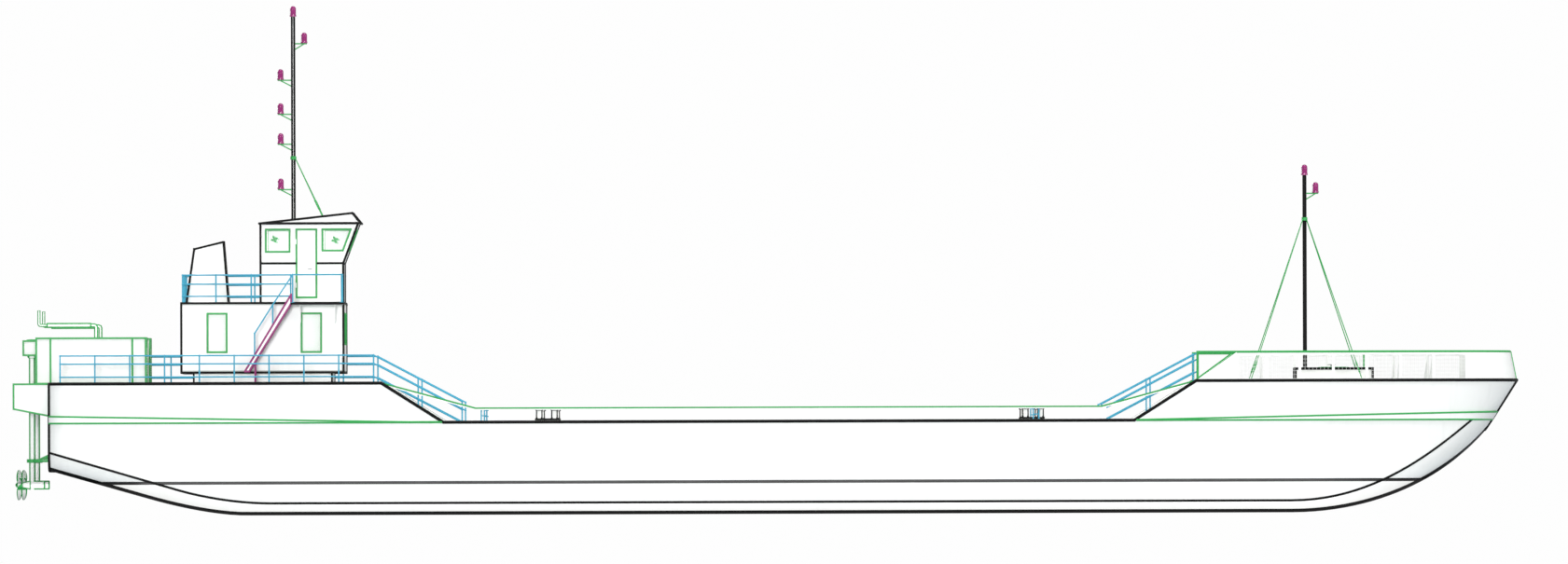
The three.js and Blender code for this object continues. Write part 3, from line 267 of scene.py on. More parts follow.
@dataclass(frozen=True)
class Paint:
    """A painted metal finish.

    Attributes:
        name: The material's name.
        colour: Its colour code.
        dirt: The colour code of its streaks.
        amount: How strongly the streaks show.
        roughness: The least roughness.
        seams: Length and height of the plates whose weld seams show, in model metres, or none.
        waterline: Whether the black waterline stripe crosses it.
        tread: Whether it is a non-slip deck coating.
        metallic: Share of bare metal.
        coat: Strength of the clear coat.
        specular: How strongly the paint reflects.
        painted_glow: Painted light: how brightly it shines by itself though it is no lamp, as the blinds do
            so that they look lit from behind.
    """

    name: str
    colour: str
    dirt: str = "8d8a80"
    amount: float = 0.12
    roughness: float = 0.34
    seams: Flat | None = None
    waterline: bool = False
    tread: bool = False
    metallic: float = 0.0
    coat: float = 0.15
    specular: float = 0.5
    painted_glow: float = 0.0

    def material(self) -> bpy.types.Material:
        """Builds the material.

        Returns:
            The material.
        """
        made, sheet = new_material(self.name)
        place = sheet.add("ShaderNodeTexCoord").outputs["Object"]
        given = {"Vector": place, "Base": srgb(self.colour), "Dirt": srgb(self.dirt)}
        given |= {"Amount": self.amount, "Roughness": self.roughness}
        weather = sheet.add("ShaderNodeGroup", given, node_tree=GROUPS.weather)
        colour, height = weather.outputs["Color"], weather.outputs["Height"]
        if self.waterline:
            sizes = {"Middle": WATERLINE * MODEL_SCALE, "Half Width": WATERLINE_STRIPE * MODEL_SCALE / 2}
            stripe = sheet.add("ShaderNodeGroup", {"Vector": place, **sizes}, node_tree=GROUPS.stripe)
            colour = sheet.mix(stripe.outputs["Mask"], colour, srgb(BLACK_PAINT))
        if self.tread:
            tread = sheet.add("ShaderNodeGroup", {"Vector": place}, node_tree=GROUPS.tread)
            height = tread.outputs["Height"]
            shade = sheet.math("MULTIPLY", tread.outputs["Shade"], 0.35)
            colour = sheet.mix(shade, colour, srgb(self.dirt))
        relief = {"Height": height, "Strength": 0.12, "Distance": 0.004}
        normal = sheet.add("ShaderNodeBump", relief).outputs[0]
        if self.seams:
            length, tall = self.seams
            sizes = {"Length": length, "Height": tall, "Width": 0.004}
            seams = sheet.add("ShaderNodeGroup", {"Vector": place, **sizes}, node_tree=GROUPS.seams)
            raised = {"Height": seams.outputs["Line"], "Strength": 0.35, "Distance": 0.003, "Normal": normal}
            normal = sheet.add("ShaderNodeBump", raised).outputs[0]
        look = {"Base Color": colour, "Roughness": weather.outputs["Roughness"], "Normal": normal}
        look |= {"Metallic": self.metallic, "Specular IOR Level": self.specular}
        look |= {"Coat Weight": self.coat, "Coat Roughness": 0.2}
        # Painted light: an even white emission on a finish that is no lamp.
        look |= {"Emission Color": srgb("ffffff"), "Emission Strength": self.painted_glow}
        sheet.surface(look)
        return made


@dataclass(frozen=True)
class Glass:
    """Window glass.

    Attributes:
        name: The material's name.
        colour: Its tint.
        roughness: How hazy it is.
        cover: How much of what is behind it the tint hides.
    """

    name: str
    colour: str
    roughness: float = 0.03
    cover: float = 0.16

    def material(self) -> bpy.types.Material:
        """Builds the material.

        Returns:
            The material.
        """
        made, sheet = new_material(self.name)
        film = sheet.noise(sheet.add("ShaderNodeTexCoord").outputs["Object"], scale=6.0, detail=3.0)
        smear = sheet.math("MULTIPLY_ADD", film, 0.05, self.roughness)
        sheet.surface(
            {"Base Color": srgb(self.colour), "Roughness": smear, "Alpha": self.cover, "IOR": 1.45}
        )
        return made


class Finish(Enum):
    """Every finish on the vessel, by the piece that wears it."""

    HULL = Paint("hull_white", "f6f7f5", amount=0.07, seams=(3.1, 0.84), waterline=True)
    DECK = Paint("deck_grey", "d9ddd9", "a9aaa2", amount=0.2, roughness=0.6, tread=True, coat=0.0)
    HOUSE = Paint("house_enamel", "fbfbf9", amount=0.05, roughness=0.3, seams=(1.5, 1.3))
    BLACK = Paint("trim_black", BLACK_PAINT, "2c2c2a", amount=0.15, roughness=0.5, coat=0.0, specular=0.15)
    GREEN = Paint("trim_green", "35a653", "1f7036", amount=0.2, roughness=0.4, coat=0.05, specular=0.3)
    BLUE = Paint("pipe_blue", "45a9c8", "2f7f9a", amount=0.15, roughness=0.4, coat=0.05, specular=0.3)
    MAGENTA = Paint("step_magenta", "92246e", "65164b", amount=0.2, roughness=0.4, coat=0.05, specular=0.3)
    LAMP = Paint("lamp_magenta", "971a6f", "6c164f", amount=0.1, roughness=0.15, coat=0.5)
    STEEL = Paint("bare_steel", "9a9c9c", "5d5a54", amount=0.4, roughness=0.3, metallic=0.9, coat=0.0)
    CUSHION = Paint("helm_grey", "5f6668", "44484a", amount=0.3, roughness=0.6, coat=0.0)
    # The blinds carry a painted glow, white light painted into them so that the windows look lit from
    # inside.
    BLIND = Paint("blind_white", "fbfbf8", amount=0.03, roughness=0.7, coat=0.0, painted_glow=0.2)
    GLASS = Glass("window_glass", "f1faf5")

    def material(self) -> bpy.types.Material:
        """Returns the finish's material, which is built when it is asked for first."""
        return bpy.data.materials.get(self.value.name) or self.value.material()


def add_object(name: str, data: bpy.types.ID) -> bpy.types.Object:
    """Makes an object from its data and links it to the scene.

    Args:
        name: The object's name.
        data: Its mesh, light or camera.

    Returns:
        The object.
    """
    made = bpy.data.objects.new(name, data)
    bpy.context.scene.collection.objects.link(made)
    return made


def facing(direction: Vector) -> Matrix:
    """Returns the turn that brings the z axis into a direction."""
    return direction.to_track_quat("Z", "Y").to_matrix().to_4x4()


def soften(shape: bmesh.types.BMesh, edges: Iterable, offset: float, segments: int = 2) -> None:
    """Bevels a shape's edges by an offset, in as many segments as are asked for."""
    choice = {"profile": 0.5, "affect": "EDGES", "material": -1}
    bmesh.ops.bevel(shape, geom=list(edges), offset=offset, segments=segments, **choice)


def closed_line(shape: bmesh.types.BMesh, points: Iterable[Point]) -> list[bmesh.types.BMEdge]:
    """Draws a closed line through points and returns its edges."""
    corners = [shape.verts.new(point) for point in points]
    return [shape.edges.new(pair) for pair in zip(corners, [*corners[1:], corners[0]])]


def ring_profile(radii: Flat, levels: Flat) -> list[Flat]:
    """Returns the closed outline of a ring between two radii and two heights."""
    (inner, outer), (low, high) = radii, levels
    return [(inner, low), (outer, low), (outer, high), (inner, high), (inner, low)]


class Shaper:
    """Gathers shapes made with bmesh operators into one mesh, in full-size metres.

    Attributes:
        step: By what share of the width the bars that meet at a corner differ.
    """

    step = 0.015

    def __init__(self, *finishes: Finish) -> None:
        """Starts a mesh with the finishes that it may wear; the first is worn where none is named."""
        self.finishes = finishes
        self.mesh = bmesh.new()

    def take(self, shape: bmesh.types.BMesh, finish: Finish | None) -> None:
        """Adds a finished shape to the mesh.

        Args:
            shape: The shape, which is freed.
            finish: What it wears.
        """
        index = self.finishes.index(finish) if finish else 0
        bmesh.ops.recalc_face_normals(shape, faces=shape.faces)
        for face in shape.faces:
            face.material_index = index
            face.smooth = True
        holder = bpy.data.meshes.new("holder")
        shape.to_mesh(holder)
        shape.free()
        self.mesh.from_mesh(holder)
        bpy.data.meshes.remove(holder)

    def box(self, low: Point, high: Point, finish: Finish | None = None, bevel: float = 0.0) -> None:
        """A box with rounded edges.

        Args:
            low: One of its corners.
            high: The corner opposite.
            finish: What it wears.
            bevel: The rounding of its edges.
        """
        size = [abs(b - a) for a, b in zip(low, high)]
        middle = Matrix.Translation([(a + b) / 2 for a, b in zip(low, high)])
        shape = bmesh.new()
        bmesh.ops.create_cube(shape, size=1.0, matrix=middle @ Matrix.Diagonal((*size, 1.0)))
        if bevel:
            soften(shape, shape.edges, min(bevel, 0.4 * min(size)))
        self.take(shape, finish)

    def bar(
        self,
        start: Point,
        end: Point,
        radius: float,
        finish: Finish | None = None,
        sides: int = 12,
        end_radius: float | None = None,
    ) -> None:
        """A round bar or a cone between two points.

        Args:
            start: Its first end.
            end: Its second end.
            radius: Its radius at the first end.
            finish: What it wears.
            sides: How many faces it has round it.
            end_radius: Its radius at the second end, where it differs.
        """
        a, b = Vector(start), Vector(end)
        shape = bmesh.new()
        bmesh.ops.create_cone(
            shape,
            cap_ends=True,
            segments=sides,
            radius1=radius,
            radius2=radius if end_radius is None else end_radius,
            depth=(b - a).length,
            matrix=Matrix.Translation((a + b) / 2) @ facing(b - a),
        )
        self.take(shape, finish)

    def ball(self, centre: Point, radius: float) -> None:
        """A ball round a centre, in the first finish.

        Args:
            centre: Its middle.
            radius: Its radius.
        """
        shape, place = bmesh.new(), Matrix.Translation(centre)
        bmesh.ops.create_uvsphere(shape, u_segments=12, v_segments=8, radius=radius, matrix=place)
        self.take(shape, None)

    def edge(self, start: Point, end: Point, width: float, finish: Finish | None = None) -> None:
        """A square bar along an edge, as long as the edge and half its own width at each end.

        Args:
            start: The edge's first end.
            end: The edge's second end.
            width: The bar's width.
            finish: What it wears.
        """
        a, b = Vector(start), Vector(end)
        shape = bmesh.new()
        size = Matrix.Diagonal((width, width, (b - a).length + width, 1.0))
        bmesh.ops.create_cube(shape, size=1.0, matrix=Matrix.Translation((a + b) / 2) @ facing(b - a) @ size)
        soften(shape, shape.edges, 0.18 * width, segments=1)
        self.take(shape, finish)

    def edges(
        self, points: Sequence[Point], width: float, finish: Finish | None = None, closed: bool = False
    ) -> None:
        """Square bars along a row of points, each a little wider than the last so that no faces coincide.

        Args:
            points: The corners.
            width: The first bar's width.
            finish: What they wear.
            closed: Whether the last corner is joined to the first.
        """
        ends = [*points[1:], points[0]] if closed else points[1:]
        for i, (start, end) in enumerate(zip(points, ends)):
            self.edge(start, end, width * (1 + self.step * i), finish)

    def box_edges(self, low: Point, high: Point, width: float, finish: Finish | None = None) -> None:
        """Square bars along all twelve edges of a box, of a slightly different width along each axis.

        Args:
            low: The box's lowest corner.
            high: The box's highest corner.
            width: The bars' width.
            finish: What they wear.
        """
        for axis in range(3):
            for ends in product((low, high), repeat=2):
                corners = iter(ends)
                start = [low[i] if i == axis else next(corners)[i] for i in range(3)]
                end = [high[i] if i == axis else start[i] for i in range(3)]
                self.edge(start, end, width * (1 + self.step * axis), finish)

    def skin(
        self, rings: Sequence[Sequence[Point]], finish: Finish | None = None, closed: bool = False
    ) -> None:
        """A body through rings that have the same count of points.

        Args:
            rings: The rings in order.
            finish: What it wears.
            closed: Whether the last ring is joined to the first; otherwise both ends are capped.
        """
        shape = bmesh.new()
        loops = [closed_line(shape, ring) for ring in rings]
        followers = [*loops[1:], loops[0]] if closed else loops[1:]
        for before, after in zip(loops, followers):
            bmesh.ops.bridge_loops(shape, edges=[*before, *after])
        if not closed:
            for loop in (loops[0], loops[-1]):
                bmesh.ops.holes_fill(shape, edges=loop, sides=0)
        self.take(shape, finish)

    def tube(
        self,
        points: Sequence[Point],
        radius: float,
        finish: Finish | None = None,
        sides: int = 8,
        closed: bool = False,
    ) -> None:
        """A round tube through a row of points, mitred at each.

        Args:
            points: The points of its centre line.
            radius: Its radius.
            finish: What it wears.
            sides: How many faces it has round it.
            closed: Whether it ends where it starts.
        """
        line = [Vector(p) for p in points]
        ways = [(b - a).normalized() for a, b in zip(line, [*line[1:], line[0]])]
        rings = []
        across: Vector | None = None
        for i, here in enumerate(line):
            out = ways[i] if closed or i + 1 < len(line) else ways[i - 1]
            into = ways[i - 1] if closed or i else out
            tangent = (into + out).normalized()
            if across is None:
                helper = Vector((0, 0, 1)) if abs(tangent.z) < 0.9 else Vector((1, 0, 0))
                across = tangent.cross(helper)
            across = (across - tangent * across.dot(tangent)).normalized()
            up, bend = tangent.cross(across), (out - into).normalized()
            stretch = min(1.0 / max(0.2, tangent.dot(into)), 1.6)
            ring = []
            for angle in (2 * math.pi * k / sides for k in range(sides)):
                offset = (across * math.cos(angle) + up * math.sin(angle)) * radius
                offset += bend * offset.dot(bend) * (stretch - 1.0)
                ring.append(here + offset)
            rings.append(ring)
        self.skin(rings, finish, closed)

    def prism(
        self,
        outline: Sequence[Point],
        push: Point,
        finish: Finish | None = None,
        bevel: float = 0.0,
        openings: Sequence[Sequence[Point]] = (),
    ) -> None:
        """A flat outline pushed out into a plate or block, which may have openings.

        Args:
            outline: The corners of the outline, all in one plane.
            push: How far and which way it is pushed.
            finish: What it wears.
            bevel: The rounding of its edges.
            openings: The corners of each opening.
        """
        shape = bmesh.new()
        if openings:
            rims = [rim for loop in (outline, *openings) for rim in closed_line(shape, loop)]
            bmesh.ops.triangle_fill(shape, edges=rims, use_beauty=True)
        else:
            shape.faces.new([shape.verts.new(point) for point in outline])
        grown = bmesh.ops.extrude_face_region(shape, geom=shape.faces[:], use_keep_orig=True)
        moved = [item for item in grown["geom"] if isinstance(item, bmesh.types.BMVert)]
        bmesh.ops.translate(shape, vec=push, verts=moved)
        if bevel:
            soften(shape, shape.edges, bevel)
        self.take(shape, finish)

    def lathe(
        self,
        profile: Sequence[Flat],
        centre: Point,
        finish: Finish | None = None,
        axis: Point = (0.0, 0.0, 1.0),
        steps: int = 20,
    ) -> None:
        """A turned body.

        Args:
            profile: Radius and height pairs from one end of the axis to the other.
            centre: Where the axis has height zero.
            finish: What it wears.
            axis: The direction of growing height.
            steps: How many faces it has round it.
        """
        shape = bmesh.new()
        corners = [shape.verts.new((radius, 0.0, height)) for radius, height in profile]
        lines = [shape.edges.new(pair) for pair in zip(corners, corners[1:])]
        turn = {"cent": (0, 0, 0), "axis": (0, 0, 1), "angle": 2 * math.pi, "use_merge": True}
        bmesh.ops.spin(shape, geom=[*corners, *lines], steps=steps, **turn)
        bmesh.ops.remove_doubles(shape, verts=shape.verts, dist=1e-5)
        place = Matrix.Translation(centre) @ facing(Vector(axis))
        bmesh.ops.transform(shape, matrix=place, verts=shape.verts)
        self.take(shape, finish)

    def lever(self, hub: Point, out: Point, along: Point) -> None:
        """A steel hand lever on a door: a spindle and a handle.

        Args:
            hub: Where the spindle comes out of the door.
            out: The direction out of the door, one long.
            along: The handle's direction and length.
        """
        hub, out = Vector(hub), Vector(out)
        self.bar(hub - out * 0.01, hub + out * 0.06, 0.018, Finish.STEEL)
        self.bar(hub + out * 0.055, hub + out * 0.055 + Vector(along), 0.014, Finish.STEEL)

    def paint(self, since: int, finish: Finish, chosen: Callable[[bmesh.types.BMFace], bool]) -> None:
        """Gives another finish to some of the faces made last.

        Args:
            since: How many faces there were before them.
            finish: What they wear.
            chosen: Says whether a face is to wear it.
        """
        self.mesh.faces.ensure_lookup_table()
        self.mesh.normal_update()
        for face in self.mesh.faces[since:]:
            if chosen(face):
                face.material_index = self.finishes.index(finish)

    def paint_sides(
        self, since: int, finish: Finish, share: float, reach: Flat = (-math.inf, math.inf)
    ) -> None:
        """Gives another finish to the faces, among those made last, that look to port or starboard.

        Args:
            since: How many faces there were before them.
            finish: What they wear.
            share: The least share of their direction that is to the side.
            reach: The stretch of x that they lie in.
        """
        low, high = reach
        self.paint(
            since,
            finish,
            lambda face: abs(face.normal.y) > share and low < face.calc_center_median().x < high,
        )

    def piece(
        self, name: str, slot: str, *replaced: str, body: str = HULL_BODY, sharp: float = 38.0
    ) -> None:
        """Makes the object in the model's frame, hangs it on its body and hides the CAD nodes that it stands
        for.

        Args:
            name: The object's name.
            slot: The record's slot; not used.
            replaced: The CAD nodes that it stands for.
            body: The body that it moves with.
            sharp: Edges that turn more than this many degrees stay sharp.
        """
        bmesh.ops.transform(self.mesh, matrix=TO_MODEL, verts=self.mesh.verts)
        data = bpy.data.meshes.new(name)
        self.mesh.to_mesh(data)
        self.mesh.free()
        for finish in self.finishes:
            data.materials.append(finish.material())
        data.set_sharp_from_angle(angle=math.radians(sharp))
        made = add_object(name, data)
        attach(made, body)
        if replaced:
            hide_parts(*replaced)
        log.info("%s: %d faces", name, len(data.polygons))


def dress(nodes: dict[str, bpy.types.Object], finish: Finish, *names: str) -> None:
    """Gives CAD nodes that stay as they are a finish.

    Args:
        nodes: The frame's nodes.
        finish: The finish.
        names: The nodes' names.
    """
    for name in names:
        slots = nodes[name].material_slots
        if not slots:
            nodes[name].data.materials.append(finish.material())
        for slot in slots:
            slot.material = finish.material()


@dataclass(frozen=True)
class Frame:
    """One cross section of the hull, which may lean forward.

    Attributes:
        x: Where its bottom is.
        low: Height of its bottom.
        deck_x: Where its deck edge is.
        deck: Height of its deck edge.
        half: Half its breadth.
        rise: Height of the bilge's curve.
        width: Width of the bilge's curve.
    """

    x: float
    low: float
    deck_x: float
    deck: float
    half: float
    rise: float
    width: float

    def lean(self, z: float) -> float:
        """Returns the section's x at a height."""
        return self.x + (self.deck_x - self.x) * (z - self.low) / (self.deck - self.low)

    def breadth(self, z: float) -> float:
        """Returns half the breadth at a height."""
        below = max(0.0, self.low + self.rise - z) / self.rise
        return self.half - self.width + self.width * math.sqrt(max(0.0, 1 - below**2))

    def ring(self, steps: int) -> list[Point]:
        """Lists the section's corners from the port deck edge under the bottom to starboard.

        Args:
            steps: How many faces the bilge's curve has.

        Returns:
            The corners.
        """
        side = [(self.half, self.deck)]
        for i in range(steps + 1):
            angle = i / steps * math.pi / 2
            y = self.half - self.width + self.width * math.cos(angle)
            side.append((y, self.low + self.rise * (1 - math.sin(angle))))
        port = [(self.lean(z), y, z) for y, z in side]
        return port + [(x, -y, z) for x, y, z in reversed(port)]


@dataclass
class HullLines:
    """The hull's form, from a few curves."""

    bilge: float = 0.43
    transom_half: float = 4.95
    corner: float = 0.6
    corner_steps: int = 8
    transom_low: float = 1.63
    run_slope: float = 0.2857
    run_start: float = 3.57
    run_low: float = 0.61
    run_end: float = 7.0
    run_power: float = 1.607
    run_pitch: float = 0.37
    run_count: int = 20
    turn_top: float = 2.28
    turn_slope: float = 0.2934
    turn_start: float = 4.84
    turn_drop: float = 0.43
    turn_end: float = 8.0
    turn_power: float = 1.9
    stations: Row = (9.5, AFT_BREAK_TOP, AFT_BREAK_FOOT, 22.0, 30.0, FORE_BREAK_FOOT)
    bow_start: float = 44.98
    bow_end: float = 52.05
    bow_a: float = 8.455
    bow_b: float = 6.595
    shoulder: float = 45.5
    nose: float = 1.6
    bilge_growth: float = 0.97
    bilge_over: float = 6.52
    bow_count: int = 30
    crowding: float = 1.7

    def deck_height(self, x: float) -> float:
        """Finds the deck's height at a place on x.

        Args:
            x: The place.

        Returns:
            The height.
        """
        aft = (x - AFT_BREAK_TOP) / (AFT_BREAK_FOOT - AFT_BREAK_TOP)
        fore = (FORE_BREAK_TOP - x) / (FORE_BREAK_TOP - FORE_BREAK_FOOT)
        down = aft if x < MIDDLE_X else fore
        return RAISED_DECK - (RAISED_DECK - CARGO_DECK) * min(1.0, max(0.0, down))

    def after(self, x: float) -> Frame:
        """Builds an upright section aft of the bow's curve.

        Args:
            x: Its place.

        Returns:
            The section.
        """
        if x < self.run_start:
            low = self.transom_low - self.run_slope * x
        else:
            share = max(0.0, self.run_end - x) / (self.run_end - self.run_start)
            low = self.run_low * share**self.run_power
        if x < self.turn_start:
            edge = self.turn_top - self.turn_slope * x
        else:
            share = max(0.0, self.turn_end - x) / (self.turn_end - self.turn_start)
            edge = self.bilge + self.turn_drop * share**self.turn_power
        near = max(0.0, 1 - x / self.corner)
        half = self.transom_half + (HALF_BEAM - self.transom_half) * math.sqrt(1 - near**2)
        rise = edge - low
        return Frame(x, low, x, self.deck_height(x), half, rise, rise)

    def fore(self, x: float) -> Frame:
        """Builds a section of the bow, which leans forward.

        Args:
            x: The place of its bottom.

        Returns:
            The section.
        """
        run = max(0.0, x - self.bow_start)
        low = self.bow_b * (1 - math.sqrt(1 - (run / self.bow_a) ** 2))
        lean = (BOW_TIP - self.bow_end) * (run / (self.bow_end - self.bow_start)) ** 2
        deck_x = x + lean
        half = self.deck_half(deck_x)
        rise = self.bilge + self.bilge_growth * (run / self.bilge_over) ** 2
        return Frame(x, low, deck_x, RAISED_DECK, half, rise, min(rise, half * 0.9))

    def deck_half(self, x: float) -> float:
        """Returns half the foredeck's breadth at a place on x."""
        taper = max(0.0, x - self.shoulder) / (BOW_TIP - self.shoulder)
        return self.nose + (HALF_BEAM - self.nose) * math.sqrt(max(0.0, 1 - taper**2))

    def after_frames(self) -> list[Frame]:
        """Builds the sections from the transom to the foot of the fore break.

        Returns:
            The sections in order.
        """
        turns = [i / self.corner_steps * math.pi / 2 for i in range(self.corner_steps + 1)]
        corner = [self.corner * (1 - math.cos(turn)) for turn in turns]
        run = [self.corner + self.run_pitch * i for i in range(1, self.run_count + 1)]
        return [self.after(x) for x in (*corner, *run, *self.stations)]

    def bow_frames(self) -> list[Frame]:
        """Builds the leaning sections of the bow, closer together towards the nose.

        Returns:
            The sections in order.
        """
        span, count = self.bow_end - self.bow_start, self.bow_count
        shares = [1 - (1 - i / count) ** self.crowding for i in range(count + 1)]
        return [self.fore(self.bow_start + span * share) for share in shares]

    def frames(self) -> list[Frame]:
        """Returns all sections from the transom to the nose."""
        return [*self.after_frames(), self.after(FORE_BREAK_TOP), *self.bow_frames()]

    def side_line(self, frames: Iterable[Frame], height: Callable[[float], float]) -> list[Point]:
        """Follows the starboard side at a height that may change along the hull.

        Args:
            frames: The sections that it passes.
            height: The height at a place on x.

        Returns:
            Points on the hull's surface.
        """
        points = []
        for section in frames:
            z = height(section.lean(CARGO_DECK))
            x = section.lean(z)
            points.append((x, -section.breadth(z), z))
        return points


LINES = HullLines()


def mirrored(points: Sequence[Point]) -> list[Point]:
    """Returns the points on the other side of the centre line."""
    return [(x, -y, z) for x, y, z in points]


def round_the_end(points: Sequence[Point]) -> list[Point]:
    """Joins a starboard line to its mirror image, from its start round its last point and back."""
    return [*points, *reversed(mirrored(points))]


@dataclass
class Hull:
    """The hull's shell with its edge bars, and the belts round both ends."""

    bilge_steps: int = 8
    edge_bar: float = 0.058
    end_bar: float = 0.058
    end_proud: float = 0.02
    fine_bar: float = 0.045
    stem_bar: float = 0.05
    stem_foot: float = 0.06
    strip: float = 0.125
    strip_most: float = 0.17
    strip_proud: float = 0.006
    strip_sunk: float = 0.015
    strip_faces: int = 4
    belt_bar: float = 0.036
    belt_bar_out: float = 0.035
    belt_depth: float = 0.055
    belt_sunk: float = 0.05
    belt_gap: float = 0.01
    stern_belt_fore: float = 14.2
    stern_belt_taper: float = 13.0
    stern_belt_places: Row = (10.0, 6.0, 3.0, 1.2)
    stern_belt_top: float = 3.60
    bow_belt_aft: float = 39.33
    bow_belt_middle: float = 43.5
    bow_belt_top: float = 3.615
    bow_belt_reach: float = 52.5

    def build(self) -> None:
        """Makes the hull's pieces."""
        self.shell()
        self.outline_bars()
        self.belts()

    def shell(self) -> None:
        """One shell over the three welded blocks, with grey decks."""
        shaper = Shaper(Finish.HULL, Finish.DECK)
        shaper.skin([section.ring(self.bilge_steps) for section in LINES.frames()])
        shaper.paint(0, Finish.DECK, lambda face: face.normal.z > 0.6)
        shaper.piece("hull_shell", "hull_paint", "hull_stern", "hull_mid", "hull_bow", sharp=24)

    def outline_bars(self) -> None:
        """Black bars along the deck edge, the bilge's upper edge, the bottom and both end plates."""
        frames = LINES.frames()
        deck_edge = [(f.deck_x, -f.half, f.deck) for f in frames]
        shaper = Shaper(Finish.BLACK)
        shaper.tube([*deck_edge, *reversed(mirrored(deck_edge))], self.edge_bar, closed=True)
        shaper.piece("deck_edge_bar", "hull_paint")

        shaper = Shaper(Finish.BLACK)
        for s in (1, -1):
            bilge = [(f.lean(f.low + f.rise), s * f.half, f.low + f.rise) for f in frames]
            above = [p for p in bilge if p[2] < CARGO_DECK + 0.02]
            shaper.tube(above, self.fine_bar, sides=6)
            self.bottom_strip(shaper, frames, s)
        for section, shift in ((frames[0], -self.end_proud), (frames[-1], self.end_proud)):
            ring = [(x + shift, y, z) for x, y, z in section.ring(self.bilge_steps)]
            shaper.tube(ring, self.end_bar, sides=8, closed=True)
        self.stem(shaper, [f for f in frames if f.x > MIDDLE_X and f.low > self.stem_foot])
        shaper.piece("hull_outline_bars", "hull_paint")

    def stem(self, shaper: Shaper, frames: Sequence[Frame]) -> None:
        """A black bar down the middle of the bow, which sinks into the bottom towards its foot.

        Args:
            shaper: Where it is made.
            frames: The sections that it passes, from its foot to the nose.
        """
        line = []
        for i, section in enumerate(frames):
            sunk = self.stem_bar * (1 - i / (len(frames) - 1))
            line.append((section.x, 0.0, section.low + sunk))
        shaper.tube(line, self.stem_bar)

    def bottom_strip(self, shaper: Shaper, frames: Sequence[Frame], s: int) -> None:
        """A black strip that starts where the bilge meets the flat bottom.

        Args:
            shaper: Where it is made.
            frames: The sections that it passes.
            s: 1 to port and -1 to starboard.
        """
        rings = []
        for i, section in enumerate(frames):
            before, after = frames[max(0, i - 1)], frames[min(len(frames) - 1, i + 1)]
            slope = (after.low - before.low) / (after.x - before.x)
            lean = (section.deck_x - section.x) / (section.deck - section.low)
            height = min(self.strip_most, self.strip * math.sqrt(1 + slope**2) / max(0.25, 1 - slope * lean))
            top = math.asin(max(0.0, 1 - height / section.rise))
            shares = [k / self.strip_faces for k in range(self.strip_faces + 1)]
            angles = [math.pi / 2 + (top - math.pi / 2) * share for share in shares]
            ring = []
            for offset, turns in ((self.strip_proud, angles), (-self.strip_sunk, angles[::-1])):
                for angle in turns:
                    y = section.half - section.width + (section.width + offset) * math.cos(angle)
                    z = section.low + section.rise - (section.rise + offset) * math.sin(angle)
                    ring.append((section.lean(z), s * y, z))
            rings.append(ring)
        shaper.skin(rings)

    def belt(self, shaper: Shaper, sections: Sequence[Frame], top: Callable[[float], float]) -> None:
        """A belt round one end: a proud plate between a lower and an upper green bar.

        Args:
            shaper: Where it is made.
            sections: The sections that it passes on its way to the end.
            top: The height of its upper edge at a place on x.
        """
        lower = round_the_end(LINES.side_line(sections, lambda x: CARGO_DECK))
        upper = round_the_end(LINES.side_line(sections, top))
        rings: list[list[Point]] = []
        bars: tuple[list[Point], list[Point]] = ([], [])
        for i in range(len(lower)):
            before, after = lower[max(0, i - 1)], lower[min(len(lower) - 1, i + 1)]
            out = Vector((after[1] - before[1], before[0] - after[0], 0.0)).normalized()
            x, y, _ = lower[i]
            outwards = out.x * (x - MIDDLE_X) if abs(out.x) > 0.2 else out.y * y
            if outwards < 0:
                out = -out
            edges = []
            for place, bar in zip((lower[i], upper[i]), bars):
                here = Vector(place)
                edges.append([here - out * self.belt_sunk, here + out * self.belt_depth])
                bar.append(here + out * self.belt_bar_out)
            rings.append([*edges[0], *reversed(edges[1])])
        shaper.skin(rings, Finish.HULL)
        for bar in bars:
            shaper.tube(bar, self.belt_bar, Finish.GREEN, sides=8)

    def belts(self) -> None:
        """The belts of the after body and of the bow."""

        def stern_top(x: float) -> float:
            """The stern belt's upper edge."""
            rise = self.stern_belt_top - CARGO_DECK - 2 * self.belt_gap
            return CARGO_DECK + self.belt_gap + rise * max(0.0, 1 - x / self.stern_belt_taper)

        def bow_top(x: float) -> float:
            """The bow belt's upper edge."""
            share = (x - self.bow_belt_aft) / (self.bow_belt_reach - self.bow_belt_aft)
            return CARGO_DECK + self.belt_gap + (self.bow_belt_top - CARGO_DECK) * max(0.0, share)

        places = (self.stern_belt_fore, self.stern_belt_taper, *self.stern_belt_places)
        aft = [LINES.after(x) for x in places]
        aft += [section for section in reversed(LINES.after_frames()) if section.x <= LINES.corner]
        shaper = Shaper(Finish.GREEN, Finish.HULL)
        self.belt(shaper, aft, stern_top)
        shaper.piece("belt_stern", "fender_green", "fender_stern")

        places = (self.bow_belt_aft, FORE_BREAK_TOP, self.bow_belt_middle)
        fore = [LINES.after(x) for x in places] + LINES.bow_frames()
        shaper = Shaper(Finish.GREEN, Finish.HULL)
        self.belt(shaper, fore, bow_top)
        shaper.piece("belt_bow", "fender_green", "fender_bow")


